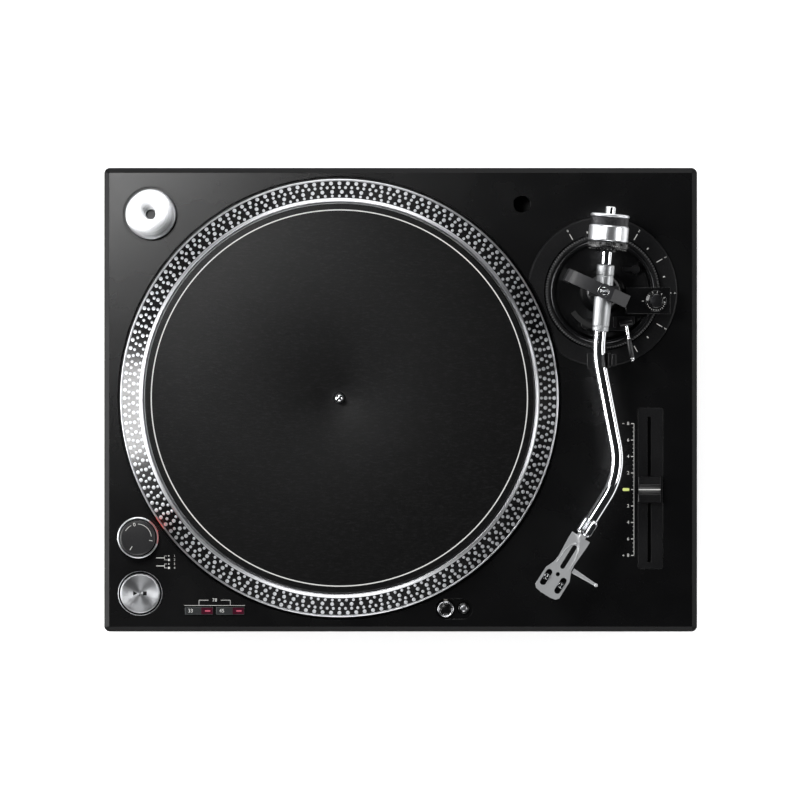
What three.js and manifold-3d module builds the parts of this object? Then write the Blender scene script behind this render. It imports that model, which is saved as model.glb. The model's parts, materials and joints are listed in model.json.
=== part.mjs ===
// Direct-drive turntable with an S-shaped pickup arm.
// Millimetres. +X to the right, +Y to the rear, +Z up, origin under the centre of the plinth.
import * as THREE from 'three';
import Module from 'manifold-3d';
import { mergeVertices } from 'three/addons/utils/BufferGeometryUtils.js';

const wasm = await Module();
wasm.setup();

// Plinth
const PLINTH_W = 450;
const PLINTH_D = 352;
const PLINTH_TOP = 88;
const PANEL_BOTTOM = 56.3;
const CORNER_R = 4.4;
const EDGE_SLOPE = 3.8;
const EDGE_DROP = 3;
const SKIN = 4;
const FOOT_X = 185;
const FOOT_Y = 136;
const FOOT_R = 30;

// Platter
const SPINDLE_X = -46.4;
const SPINDLE_Y = 1.3;
const PLATTER_R = 166.2;
const WELL_R = 168.5;
const WELL_DEPTH = 7;
const MAT_R = 147.2;
const LIP_R = 150.8;
const SPINDLE_R = 3.6;
const PLATE_TOP = PLINTH_TOP + 16.5;

// Top panel fittings
const ADAPTER = [-189.6, 140.7];
const ADAPTER_POCKET_R = 21.1;
const TOWER = [-199.1, -104.5];
const START = [-197.7, -146.9];
const START_R = 15.1;
const SPEED_Y = -160.2;
const SPEED_33_X = -153;
const SPEED_45_X = -129.3;
const SPEED_W = 21.4;
const SPEED_D = 5.7;
const LAMP = [34.2, -158.8];
const LAMP_BUTTON = [47.8, -158.2];
const LAMP_POCKET_X = 40.6;
const HOLDER = [92, 148.5];
const HOLDER_R = 6.6;
const FADER_X = 188.6;
const FADER_Y = -68.1;
const FADER_TRAVEL = 50;

// Pickup arm
const ARM_X = 153;
const ARM_Y = 81.8;
const ARM_Z = PLINTH_TOP + 44;
const ARM_LEAN = 4.9;
const TUBE_R = 4.8;
const ELBOW = [-4.1, -47.7];
const WRIST = [13.1, -136.9];
const HEAD_ANGLE = 32;
const BRIDGE_ANGLE = 155.7;
const DIAL_R = 57;
const RING_R = 43.5;
const BOWL_R = 39.2;

const DEG = Math.PI / 180;

// Helpers

function solid(geometry) {
  const bare = new THREE.BufferGeometry();
  bare.setAttribute('position', geometry.getAttribute('position').clone());
  if (geometry.index) {
    bare.setIndex(geometry.index.clone());
  }
  const merged = mergeVertices(bare, 1e-3);
  const points = Float32Array.from(merged.getAttribute('position').array);
  const faces = [];
  let volume = 0;
  const corner = (i) => new THREE.Vector3().fromArray(points, 3 * i);
  for (let i = 0; i < merged.index.count; i += 3) {
    const [a, b, c] = [0, 1, 2].map((k) => merged.index.getX(i + k));
    if (a !== b && b !== c && a !== c) {
      faces.push([a, b, c]);
      volume += corner(a).dot(corner(b).cross(corner(c)));
    }
  }
  const turned = volume < 0 ? faces.map(([a, b, c]) => [a, c, b]) : faces;
  const mesh = new wasm.Mesh({
    numProp: 3,
    vertProperties: points,
    triVerts: Uint32Array.from(turned.flat()),
  });
  return new wasm.Manifold(mesh);
}

function lathe(profile, segments, x = 0, y = 0, matrix = null) {
  const points = profile.map(([r, z]) => new THREE.Vector2(r, z));
  const [first, last] = [profile[0], profile[profile.length - 1]];
  if (first[0] > 0 || last[0] > 0) {
    points.push(points[0].clone());
  }
  const geometry = new THREE.LatheGeometry(points, segments);
  geometry.rotateX(Math.PI / 2);
  if (matrix) {
    geometry.applyMatrix4(matrix);
  }
  geometry.translate(x, y, 0);
  return solid(geometry);
}

function rod(radius, z0, z1, x, y, segments, matrix = null) {
  return lathe([[0, z0], [radius, z0], [radius, z1], [0, z1]], segments, x, y, matrix);
}

function pipe(inner, outer, z0, z1, x, y, segments) {
  return lathe([[inner, z0], [outer, z0], [outer, z1], [inner, z1]], segments, x, y);
}

function block(x0, x1, y0, y1, z0, z1, matrix = null) {
  const geometry = new THREE.BoxGeometry(x1 - x0, y1 - y0, z1 - z0);
  geometry.translate((x0 + x1) / 2, (y0 + y1) / 2, (z0 + z1) / 2);
  if (matrix) {
    geometry.applyMatrix4(matrix);
  }
  return solid(geometry);
}

function roundRect(width, depth, radius) {
  const shape = new THREE.Shape();
  const [w, d] = [width / 2 - radius, depth / 2 - radius];
  shape.absarc(w, d, radius, 0, Math.PI / 2);
  shape.absarc(-w, d, radius, Math.PI / 2, Math.PI);
  shape.absarc(-w, -d, radius, Math.PI, 1.5 * Math.PI);
  shape.absarc(w, -d, radius, 1.5 * Math.PI, 2 * Math.PI);
  return shape;
}

function slab(shape, z0, z1, x, y, curveSegments = 5, matrix = null) {
  const options = { depth: z1 - z0, bevelEnabled: false, curveSegments };
  const geometry = new THREE.ExtrudeGeometry(shape, options);
  geometry.translate(x, y, z0);
  if (matrix) {
    geometry.applyMatrix4(matrix);
  }
  return solid(geometry);
}

function join(parts) {
  return parts.reduce((whole, part) => whole.add(part));
}

function cut(whole, tools) {
  return tools.reduce((rest, tool) => rest.subtract(tool), whole);
}

// Places a shape drawn along its own Z axis along a level direction, with its own Y axis upwards.
function along(x, y, z, direction) {
  const forward = new THREE.Vector3(Math.cos(direction), Math.sin(direction), 0);
  const up = new THREE.Vector3(0, 0, 1);
  const side = new THREE.Vector3().crossVectors(up, forward);
  return new THREE.Matrix4().makeBasis(side, up, forward).setPosition(x, y, z);
}

// Places a shape drawn in plan, its own X axis turned to a level direction.
function turned(x, y, z, direction) {
  return new THREE.Matrix4().makeRotationZ(direction).setPosition(x, y, z);
}

const ARM_DIRECTION = (-90 - ARM_LEAN) * DEG;
const HEAD_DIRECTION = (-90 - HEAD_ANGLE) * DEG;
const armAxis = along(ARM_X, ARM_Y, ARM_Z, ARM_DIRECTION);
const headAxis = along(ARM_X + WRIST[0], ARM_Y + WRIST[1], ARM_Z, HEAD_DIRECTION);
const headPlan = turned(ARM_X + WRIST[0], ARM_Y + WRIST[1], ARM_Z, HEAD_DIRECTION);

const group = new THREE.Group();
group.name = 'turntable';

function add(name, body, color, roughness, metalness) {
  const mesh = body.getMesh();
  const geometry = new THREE.BufferGeometry();
  const points = mesh.vertProperties;
  geometry.setAttribute('position', new THREE.BufferAttribute(points, mesh.numProp));
  geometry.setIndex(new THREE.BufferAttribute(mesh.triVerts, 1));
  const flat = geometry.toNonIndexed();
  flat.computeVertexNormals();
  const material = new THREE.MeshStandardMaterial({ color, roughness, metalness });
  material.name = name;
  const part = new THREE.Mesh(flat, material);
  part.name = name;
  group.add(part);
}

const BLACK = 0x141416;
const DARK = 0x2a2a2e;
const SILVER = 0xc4c6ca;
const CHROME = 0xe2e4e8;

// Plinth

function panelBlank() {
  const [w, d] = [PLINTH_W - 2 * EDGE_SLOPE, PLINTH_D - 2 * EDGE_SLOPE];
  const options = {
    depth: PLINTH_TOP - PANEL_BOTTOM,
    bevelThickness: EDGE_DROP,
    bevelSize: EDGE_SLOPE,
    bevelSegments: 1,
    curveSegments: 5,
  };
  const outline = roundRect(w, d, CORNER_R - EDGE_SLOPE);
  const geometry = new THREE.ExtrudeGeometry(outline, options);
  geometry.translate(0, 0, PANEL_BOTTOM - EDGE_DROP);
  const low = block(-300, 300, -300, 300, 0, PANEL_BOTTOM);
  const [x, y] = [PLINTH_W / 2 - SKIN, PLINTH_D / 2 - SKIN];
  return cut(solid(geometry), [low, block(-x, x, -y, y, 0, PLINTH_TOP - SKIN)]);
}

function topPanel() {
  const top = PLINTH_TOP;
  const floor = top - WELL_DEPTH - 3;
  const solids = [
    panelBlank(),
    rod(WELL_R + 2, floor, top - SKIN + 1, SPINDLE_X, SPINDLE_Y, 60),
    rod(ADAPTER_POCKET_R + 3, top - 9, top - SKIN + 1, ...ADAPTER, 20),
  ];
  const tools = [
    rod(WELL_R, top - WELL_DEPTH, top + 5, SPINDLE_X, SPINDLE_Y, 60),
    rod(47, floor - 5, top, SPINDLE_X, SPINDLE_Y, 32),
    rod(ADAPTER_POCKET_R, top - 5.5, top + 5, ...ADAPTER, 32),
    rod(15, top - 20, top + 5, ...TOWER, 24),
    rod(START_R + 0.4, top - 20, top + 5, ...START, 28),
    rod(START_R + 1.8, top - 1.6, top + 5, ...START, 28),
    speedHole(SPEED_33_X),
    speedHole(SPEED_45_X),
    slab(roundRect(28.5, 15.5, 7.7), top - 1.3, top + 5, LAMP_POCKET_X, LAMP[1], 6),
    rod(7.1, top - 20, top + 5, ...LAMP, 20),
    rod(4.9, top - 20, top + 5, ...LAMP_BUTTON, 16),
    rod(HOLDER_R, top - 20, top + 5, ...HOLDER, 20),
    slab(roundRect(19.3, 122.3, 1.2), top - 20, top + 5, FADER_X + 0.9, FADER_Y + 0.9, 2),
    rod(30, top - 20, top + 5, ARM_X, ARM_Y, 32),
  ];
  return cut(join(solids), tools);
}

function speedHole(x) {
  const shape = roundRect(SPEED_W + 0.7, SPEED_D + 0.7, 0.9);
  return slab(shape, PLINTH_TOP - 20, PLINTH_TOP + 5, x, SPEED_Y, 1);
}

function bottomCase() {
  const outside = slab(roundRect(446, 348, 5), 22.3, 56, 0, 0);
  const bay = block(-75, 75, 144, 172, 24, 54);
  const tower = rod(18, 24, 33.4, SPINDLE_X, SPINDLE_Y, 16);
  const tools = [block(-70, 70, 149.6, 190, 27, 50)];
  const bosses = [];
  for (const [x, y] of feet()) {
    bosses.push(rod(11, 24, 42, x, y, 12));
    tools.push(rod(6.35, 0, 36, x, y, 14));
  }
  const tray = cut(outside, [block(-217, 217, -168, 168, 27.3, 60)]);
  return cut(join([tray, bay, tower, ...bosses]), tools);
}

function feet() {
  return [[-FOOT_X, -FOOT_Y], [FOOT_X, -FOOT_Y], [-FOOT_X, FOOT_Y], [FOOT_X, FOOT_Y]];
}

function foot(x, y) {
  const profile = [
    [0, 0], [26, 0], [28, 1.4], [28, 5], [FOOT_R, 6.4], [FOOT_R, 15],
    [26, 21.9], [6, 21.9], [6, 35.4], [0, 35.4],
  ];
  return lathe(profile, 24, x, y);
}

// Inside the plinth

function mainBoard() {
  const board = block(60, 150, -120, -30, 34, 35.6);
  const pegs = [[64, -116], [146, -116], [64, -34], [146, -34]];
  const posts = pegs.map(([x, y]) => rod(3, 27.6, 34.5, x, y, 12));
  const chips = [
    block(80, 100, -100, -80, 35.4, 38.5),
    block(112, 128, -70, -54, 35.4, 38),
    rod(6, 35.4, 50, 78, -50, 16),
    rod(5, 35.4, 46, 132, -100, 16),
  ];
  return join([board, ...posts, ...chips]);
}

function powerSupply() {
  const base = block(-205, -125, 62, 122, 27.6, 31);
  const coil = slab(roundRect(52, 40, 6), 30.8, 60, -166, 92);
  const core = block(-182, -150, 66, 118, 30.8, 54);
  return join([base, coil, core]);
}

function bearingHousing() {
  const profile = [
    [0, 33.8], [11, 33.8], [14, 37], [14, 74.4], [50, 74.4], [50, 77.6],
    [14, 77.6], [14, 93], [3.75, 93], [3.75, 38.2], [0, 38.2],
  ];
  return lathe(profile, 24, SPINDLE_X, SPINDLE_Y);
}

function motorStator() {
  const ring = pipe(14.4, 37.5, 78, 92, SPINDLE_X, SPINDLE_Y, 24);
  const slots = [];
  for (let i = 0; i < 6; i += 1) {
    const place = turned(SPINDLE_X, SPINDLE_Y, 0, i * 60 * DEG);
    slots.push(block(24, 40, -2, 2, 75, 95, place));
  }
  return cut(ring, slots);
}

function jackPlate() {
  return join([block(-69.6, 69.6, 149.9, 152.4, 27.4, 49.6), socket(48), socket(62)]);
}

function socket(x) {
  const profile = [
    [0, 0], [5.6, 0], [5.6, 2], [4.15, 2], [4.15, 10], [1.6, 10], [1.6, 3], [0, 3],
  ];
  return lathe(profile, 14, 0, 0, along(x, 152.2, 38.5, Math.PI / 2));
}

function groundPost() {
  const profile = [[0, 0], [4, 0], [4, 1.5], [2, 1.5], [2, 4], [5, 4], [5, 9], [2, 10], [0, 10]];
  return lathe(profile, 14, 0, 0, along(24, 152.7, 38.5, Math.PI / 2));
}

function mainsInlet() {
  const body = block(-59, -31, 152.7, 167, 29.5, 47.5);
  return cut(body, [block(-54, -36, 156, 170, 33.5, 43.5)]);
}

// Platter

function platter() {
  const t = PLINTH_TOP;
  const profile = [
    [3.9, PLATE_TOP], [147.7, PLATE_TOP], [147.9, t + 18.4], [LIP_R, t + 18.4],
    [151.3, t + 16.9], [164.9, t + 5], [165.4, t + 5.4], [PLATTER_R, t + 4.9], [PLATTER_R, t + 1],
    [161, t + 1], [161, t + 3], [147, t + 11.5], [14, t + 11.5],
    [14, t + 8], [3.9, t + 8],
  ];
  return lathe(profile, 60, SPINDLE_X, SPINDLE_Y);
}

function slipMat() {
  return pipe(4, MAT_R, PLATE_TOP + 0.3, PLATE_TOP + 2.7, SPINDLE_X, SPINDLE_Y, 60);
}

function spindle() {
  const profile = [
    [0, 38.5], [SPINDLE_R, 38.5], [SPINDLE_R, 118.4], [3.2, 119.9], [2.2, 121.2], [1, 121.9],
    [0, 122],
  ];
  return lathe(profile, 20, SPINDLE_X, SPINDLE_Y);
}

function rotorMagnet() {
  return pipe(39, 44.5, 80.5, 99.2, SPINDLE_X, SPINDLE_Y, 32);
}

// Controls

function recordAdapter() {
  const z = PLINTH_TOP - 5.2;
  const profile = [
    [3.65, z], [17.6, z], [19.1, z + 1.4], [19.1, z + 9.2], [17.8, z + 10.4],
    [6.4, z + 10.4], [5.6, z + 9.7], [3.65, z + 9.7],
  ];
  return lathe(profile, 30, ...ADAPTER);
}

function strobeTower() {
  const t = PLINTH_TOP;
  const profile = [
    [0, t - 12], [14.6, t - 12], [14.6, t + 0.3], [15.7, t + 0.3], [15.7, t + 7], [15, t + 8],
    [0, t + 8],
  ];
  const place = turned(...TOWER, 0, Math.atan2(SPINDLE_Y - TOWER[1], SPINDLE_X - TOWER[0]));
  return cut(lathe(profile, 28, ...TOWER), [block(9, 20, -5, 5, t + 1.6, t + 6, place)]);
}

function strobeLens() {
  const t = PLINTH_TOP;
  const place = turned(...TOWER, 0, Math.atan2(SPINDLE_Y - TOWER[1], SPINDLE_X - TOWER[0]));
  return block(9.3, 15, -4.7, 4.7, t + 1.9, t + 5.7, place);
}

function powerKnob() {
  const t = PLINTH_TOP;
  const profile = [[0, t + 8.3], [13.4, t + 8.3], [13.4, t + 19.6], [12.4, t + 21], [0, t + 21]];
  return lathe(profile, 28, ...TOWER);
}

function startButton() {
  const t = PLINTH_TOP;
  const profile = [
    [0, t - 14], [4, t - 14], [4, t - 5], [START_R, t - 5], [START_R, t + 1.8],
    [START_R - 0.7, t + 2.5], [0, t + 2.5],
  ];
  return lathe(profile, 28, ...START);
}

function speedButton(x) {
  const t = PLINTH_TOP;
  const cap = slab(roundRect(SPEED_W, SPEED_D, 0.6), t - 5, t + 1.8, x, SPEED_Y, 1);
  return join([cap, rod(2, t - 9, t - 4.5, x, SPEED_Y, 8)]);
}

function speedSwitches() {
  return block(-166, -116, -166, -154, PLINTH_TOP - 13, PLINTH_TOP - 10.8);
}

function lampGuide() {
  const profile = [
    [0, 55], [8.3, 55], [8.3, PLINTH_TOP - 4.3], [7.1, PLINTH_TOP - 4.3], [7.1, 57], [0, 57],
  ];
  return lathe(profile, 20, ...LAMP);
}

function stylusLamp() {
  const t = PLINTH_TOP;
  const profile = [
    [0, 57.4], [6.75, 57.4], [6.75, t], [5.9, t + 0.9], [3.4, t + 1.5], [0, t + 1.7],
  ];
  const window = block(LAMP[0] - 3, LAMP[0] + 3, LAMP[1] + 3, LAMP[1] + 9, t - 9, t - 4);
  return cut(lathe(profile, 20, ...LAMP), [window]);
}

function lampButton() {
  const t = PLINTH_TOP;
  const profile = [[0, t - 8], [4.4, t - 8], [4.4, t + 0.7], [3.6, t + 1.4], [0, t + 1.4]];
  return lathe(profile, 16, ...LAMP_BUTTON);
}

function headshellHolder() {
  const top = PLINTH_TOP - SKIN - 0.3;
  const profile = [
    [0, 58], [HOLDER_R + 1.8, 58], [HOLDER_R + 1.8, top], [HOLDER_R, top], [HOLDER_R, 60], [0, 60],
  ];
  return lathe(profile, 20, ...HOLDER);
}

function tempoPanel() {
  const t = PLINTH_TOP;
  const plate = slab(roundRect(18.5, 121.5, 1), t - 2.4, t + 0.2, FADER_X + 0.9, FADER_Y + 0.9, 2);
  const slot = block(FADER_X - 1.35, FADER_X + 1.35, FADER_Y - 55.2, FADER_Y + 55.2, 0, t + 5);
  return cut(plate, [slot]);
}

function tempoBody() {
  const t = PLINTH_TOP;
  const [x, y] = [FADER_X, FADER_Y];
  const body = block(x - 8, x + 8, y - 59, y + 59, t - 17, t - 2.8);
  return cut(body, [block(x - 1.8, x + 1.8, y - 55.5, y + 55.5, t - 12.5, t + 5)]);
}

function tempoSlider() {
  const t = PLINTH_TOP;
  const [x, y] = [FADER_X, FADER_Y];
  const stem = block(x - 0.95, x + 0.95, y - 4.5, y + 4.5, t - 11.5, t + 1.5);
  const outline = new THREE.Shape();
  outline.moveTo(-10.3, 0);
  outline.lineTo(10.3, 0);
  outline.lineTo(9, 9.4);
  outline.lineTo(5.4, 8.8);
  outline.lineTo(0.6, 7);
  outline.lineTo(-0.6, 7);
  outline.lineTo(-5.4, 8.8);
  outline.lineTo(-9, 9.4);
  const options = { depth: 17, bevelEnabled: false };
  const geometry = new THREE.ExtrudeGeometry(outline, options);
  geometry.translate(0, 0, -8.5);
  const [wide, up] = [new THREE.Vector3(0, 1, 0), new THREE.Vector3(0, 0, 1)];
  const place = new THREE.Matrix4().makeBasis(wide, up, new THREE.Vector3(1, 0, 0));
  geometry.applyMatrix4(place.setPosition(x, y, t + 1));
  return join([solid(geometry), stem]);
}

// Arm base

function heightDialPlate() {
  const t = PLINTH_TOP;
  const profile = [[44.2, t + 0.3], [DIAL_R, t + 0.3], [DIAL_R, t + 2.2], [DIAL_R - 1, t + 3.2],
    [44.2, t + 3.2]];
  const ring = lathe(profile, 44, ARM_X, ARM_Y);
  return cut(ring, [rod(WELL_R + 1.2, t - 5, t + 10, SPINDLE_X, SPINDLE_Y, 60)]);
}

function heightRing() {
  const t = PLINTH_TOP;
  const profile = [
    [27.6, t + 0.4], [RING_R, t + 0.4], [RING_R, t + 10.6], [RING_R - 1, t + 11.6],
    [BOWL_R + 0.5, t + 11.6], [BOWL_R + 0.5, t + 6], [27.6, t + 6],
  ];
  return lathe(profile, 44, ARM_X, ARM_Y);
}

function armBase() {
  const t = PLINTH_TOP;
  const profile = [
    [0, 64], [27, 64], [27, t + 6.4], [BOWL_R, t + 6.4], [BOWL_R, t + 12],
    [BOWL_R - 0.9, t + 12.6], [BOWL_R - 2.6, t + 12.6], [BOWL_R - 4.4, t + 9], [0, t + 9],
  ];
  return lathe(profile, 44, ARM_X, ARM_Y);
}

function armPillar() {
  const t = PLINTH_TOP;
  const profile = [
    [0, t + 9.3], [17.5, t + 9.3], [16.5, t + 13], [15, t + 15], [14, t + 28], [11, t + 33.6],
    [0, t + 33.6],
  ];
  return lathe(profile, 20, ARM_X, ARM_Y);
}

function gimbalBridge() {
  const t = PLINTH_TOP;
  const shape = new THREE.Shape();
  shape.moveTo(25.8, t + 9.3);
  shape.lineTo(31, t + 9.3);
  shape.lineTo(31, t + 50);
  shape.lineTo(30, t + 54.6);
  shape.lineTo(27.2, t + 58.4);
  shape.lineTo(22.6, t + 60);
  shape.lineTo(-7, t + 60);
  shape.lineTo(-19.9, t + 52);
  shape.lineTo(-19.9, t + 24.3);
  shape.lineTo(-15.7, t + 24.3);
  shape.lineTo(-15.7, t + 51.6);
  shape.lineTo(-13.4, t + 54.2);
  shape.lineTo(21, t + 54.2);
  shape.lineTo(25.8, t + 50);
  const geometry = new THREE.ExtrudeGeometry(shape, { depth: 9.6, bevelEnabled: false });
  geometry.translate(0, 0, -4.8);
  const u = new THREE.Vector3(Math.cos(BRIDGE_ANGLE * DEG), Math.sin(BRIDGE_ANGLE * DEG), 0);
  const up = new THREE.Vector3(0, 0, 1);
  const side = new THREE.Vector3().crossVectors(u, up);
  const place = new THREE.Matrix4().makeBasis(u, up, side).setPosition(ARM_X, ARM_Y, 0);
  geometry.applyMatrix4(place);
  const foot = rod(34.2, t + 5, t + 13.4, ARM_X, ARM_Y, 44);
  const bar = solid(geometry);
  const high = block(0, 400, -100, 300, t + 13, t + 70);
  const low = bar.intersect(foot);
  const round = rod(5.6, t + 54.2, t + 60, ARM_X, ARM_Y, 20);
  return cut(join([bar.intersect(high), low, round]), [rod(3.4, 0, t + 80, ARM_X, ARM_Y, 16)]);
}

function pivotScrew() {
  const t = PLINTH_TOP;
  const profile = [
    [0, t + 53.9], [1.2, t + 53.9], [3.1, t + 55], [3.1, t + 60.2], [2.7, t + 60.6], [0, t + 60.6],
  ];
  const slot = block(ARM_X - 4, ARM_X + 4, ARM_Y - 0.4, ARM_Y + 0.4, t + 59.9, t + 65);
  return cut(lathe(profile, 16, ARM_X, ARM_Y), [slot]);
}

function antiskateBlock() {
  const t = PLINTH_TOP;
  const top = block(17.5, 50.8, -16.9, 3, t + 13, t + 24, turned(ARM_X, ARM_Y, 0, 0));
  const foot = block(18.4, 34, -16.9, 3, t + 9.3, t + 14, turned(ARM_X, ARM_Y, 0, 0));
  const inside = rod(34.2, t, t + 20, ARM_X, ARM_Y, 44);
  const hole = rod(2.4, t + 19, t + 30, ARM_X + 40, ARM_Y - 7.2, 12);
  return cut(join([top, foot.intersect(inside)]), [hole]);
}

function antiskateKnob() {
  const t = PLINTH_TOP;
  const profile = [
    [0, t + 19.4], [2, t + 19.4], [2, t + 24.3], [8.2, t + 24.3], [8.2, t + 26.4], [5.2, t + 26.8],
    [5, t + 28.3], [0, t + 28.3],
  ];
  return lathe(profile, 24, ARM_X + 40, ARM_Y - 7.2);
}

function lifterPlace() {
  return [ARM_X + 27.5 * Math.cos(-117 * DEG), ARM_Y + 27.5 * Math.sin(-117 * DEG)];
}

function liftPlatform() {
  const t = PLINTH_TOP;
  const bar = new THREE.Shape();
  bar.absarc(0, 0, 29.4, -146 * DEG, -88 * DEG, false);
  bar.absarc(0, 0, 25.6, -88 * DEG, -146 * DEG, true);
  const rest = slab(bar, t + 31.6, t + 33.8, ARM_X, ARM_Y, 8);
  return join([rest, rod(1.5, t + 12, t + 32.4, ...lifterPlace(), 12)]);
}

function armRest() {
  const t = PLINTH_TOP;
  const place = turned(ARM_X, ARM_Y, 0, 0);
  const arm = block(-7, 1.5, -58, -31, t + 13, t + 16, place);
  const foot = block(-7, 1.5, -34, -28.5, t + 9.3, t + 16, place);
  const inside = rod(34.2, t, t + 20, ARM_X, ARM_Y, 44);
  const post = block(-6, 0.5, -57.5, -46.5, t + 15, t + 38.6, place);
  const hook = block(-12.4, 5.4, -57.5, -46.5, t + 36, t + 38.6, place);
  const wall = block(3.2, 5.4, -57.5, -46.5, t + 38, t + 47, place);
  return join([arm, foot.intersect(inside), post, hook, wall]);
}

function restClip() {
  const t = PLINTH_TOP;
  const place = turned(ARM_X, ARM_Y, 0, 0);
  const leaf = block(5.7, 7.5, -56.5, -47.5, t + 41, t + 62, place);
  return join([leaf, block(7.3, 9, -56.5, -47.5, t + 56, t + 62, place)]);
}

function cueLever() {
  const t = PLINTH_TOP;
  const direction = Math.atan2(-28.8, 5);
  const place = along(ARM_X + 17.5, ARM_Y - 23.7, t + 20, direction);
  const profile = [
    [0, 0], [1.5, 0.4], [1.5, 9], [1.4, 12], [1.9, 15], [1.9, 27], [1.2, 29.2], [0, 29.6],
  ];
  const arm = lathe(profile, 10, 0, 0, place);
  const axle = along(ARM_X + 17.5, ARM_Y - 23.7, t + 20, direction + Math.PI / 2);
  return join([arm, rod(2.4, -5, 5, 0, 0, 12, axle)]);
}

function cueBracket() {
  const t = PLINTH_TOP;
  const place = turned(ARM_X, ARM_Y, 0, 0);
  const body = block(2, 24, -29.5, -18.5, t + 9.3, t + 14, place);
  const link = block(-13, 3, -28, -20, t + 9.3, t + 11.5, place);
  const inside = rod(34.2, t, t + 20, ARM_X, ARM_Y, 44);
  const cheek = block(8, 10, -27, -19, t + 13, t + 23, place);
  const [x, y] = lifterPlace();
  const bore = rod(1.7, t + 11.7, t + 40, x, y, 12);
  return cut(join([body.intersect(inside), link, cheek, rod(4, t + 9.3, t + 27, x, y, 14)]), [bore]);
}

function heightLock() {
  const t = PLINTH_TOP;
  const place = turned(ARM_X + 25, ARM_Y + 17, 0, 0);
  const blade = block(-10, 3, -1.6, 1.6, t + 12.4, t + 15.4, place);
  return join([blade, rod(3.4, t + 9.3, t + 14.6, ARM_X + 25, ARM_Y + 17, 16)]);
}

// Moving arm

function gimbalFrame() {
  const place = along(ARM_X, ARM_Y, ARM_Z, ARM_DIRECTION);
  const frame = block(-11, 11, -9.8, 9.8, -4.5, 4.5, place);
  const window = block(-7.8, 7.8, -7.6, 7.6, -10, 10, place);
  const pins = along(ARM_X, ARM_Y, ARM_Z, ARM_DIRECTION + Math.PI / 2);
  return cut(frame, [window, rod(1.9, -20, 20, 0, 0, 12, pins)]);
}

function armHousing() {
  const profile = [
    [0, -20], [6.3, -20], [6.7, -19.4], [6.7, 8], [6.5, 18], [6.1, 29.7], [5.6, 30.3], [0, 30.3],
  ];
  const pins = along(ARM_X, ARM_Y, ARM_Z, ARM_DIRECTION + Math.PI / 2);
  return join([lathe(profile, 20, 0, 0, armAxis), rod(1.5, -10.6, 10.6, 0, 0, 12, pins)]);
}

function armPath() {
  const at = (x, y) => new THREE.Vector3(ARM_X + x, ARM_Y + y, ARM_Z);
  const step = (p, direction, s) => [
    p[0] + s * Math.cos(direction),
    p[1] + s * Math.sin(direction),
  ];
  const middle = Math.atan2(WRIST[1] - ELBOW[1], WRIST[0] - ELBOW[0]);
  const start = at(...step([0, 0], ARM_DIRECTION, 30.6));
  const [a0, a1] = [at(...step(ELBOW, ARM_DIRECTION, -12)), at(...step(ELBOW, middle, 12))];
  const [b0, b1] = [at(...step(WRIST, middle, -22)), at(...step(WRIST, HEAD_DIRECTION, 22))];
  const end = at(...step(WRIST, HEAD_DIRECTION, 41.2));
  const path = new THREE.CurvePath();
  path.add(new THREE.LineCurve3(start, a0));
  path.add(new THREE.QuadraticBezierCurve3(a0, at(...ELBOW), a1));
  path.add(new THREE.LineCurve3(a1, b0));
  path.add(new THREE.QuadraticBezierCurve3(b0, at(...WRIST), b1));
  path.add(new THREE.LineCurve3(b1, end));
  return path;
}

function armTube() {
  const circle = new THREE.Shape();
  circle.absarc(0, 0, TUBE_R, 0, 2 * Math.PI);
  const sampled = new THREE.CatmullRomCurve3(armPath().getSpacedPoints(32), false, 'centripetal');
  const options = { steps: 32, extrudePath: sampled, bevelEnabled: false, curveSegments: 6 };
  return solid(new THREE.ExtrudeGeometry(circle, options));
}

function rearShaft() {
  const profile = [
    [0, -64], [3.4, -64], [4, -63.4], [4, -20.3], [0, -20.3],
  ];
  return lathe(profile, 16, 0, 0, armAxis);
}

function counterweightCore() {
  const profile = [[4.3, -57.6], [8, -57.6], [8, -38], [4.3, -38]];
  return lathe(profile, 20, 0, 0, armAxis);
}

function counterweight() {
  const profile = [
    [8.3, -58.3], [14, -58.3], [14.9, -57.6], [14.9, -56.2], [14, -55.9], [14, -49.6],
    [15.05, -49], [15.05, -38.1], [14.5, -37.5], [8.3, -37.5],
  ];
  return lathe(profile, 28, 0, 0, armAxis);
}

function forceDial() {
  const profile = [
    [4.3, -37.2], [14.9, -37.2], [15.5, -36.6], [15.5, -32.4], [14.6, -31.6], [9, -31.2],
    [8, -29.6], [4.3, -29.6],
  ];
  return lathe(profile, 28, 0, 0, armAxis);
}

function lockingCollar() {
  const profile = [
    [0, 41.5], [5.2, 41.5], [5.75, 42.2], [5.75, 54], [5.2, 54.8], [0, 54.8],
  ];
  return lathe(profile, 20, 0, 0, headAxis);
}

function headshell() {
  const outline = new THREE.Shape();
  const edge = [
    [56.9, 7.85], [63, 7.75], [70, 7.3], [78, 6.9], [83, 7.4], [86.5, 8.9], [90, 10.5],
    [105, 10.6], [107.3, 8.6], [108.1, 4],
  ];
  outline.moveTo(56.9, -7.85);
  edge.slice(1).forEach(([u, v]) => outline.lineTo(u, -v));
  [...edge].reverse().forEach(([u, v]) => outline.lineTo(u, v));
  outline.closePath();
  const plate = slab(outline, 0.2, 3.2, 0, 0, 5, headPlan);
  const back = block(56.9, 64, -6.4, 6.4, -5, 1, headPlan);
  const plug = rod(3.6, 55.1, 58, 0, 0, 20, headAxis);
  const tools = [
    slab(roundRect(20.4, 3.6, 1.75), -2, 6, 74.8, 0, 3, headPlan),
    slab(roundRect(3.2, 3.2, 1.55), -2, 6, 90, 0, 2, headPlan),
    slab(roundRect(13.4, 4.8, 2.3), -2, 6, 96.4, 6.35, 3, headPlan),
    slab(roundRect(13.4, 4.8, 2.3), -2, 6, 96.4, -6.35, 3, headPlan),
  ];
  return cut(join([plate, back, plug]), tools);
}

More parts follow.
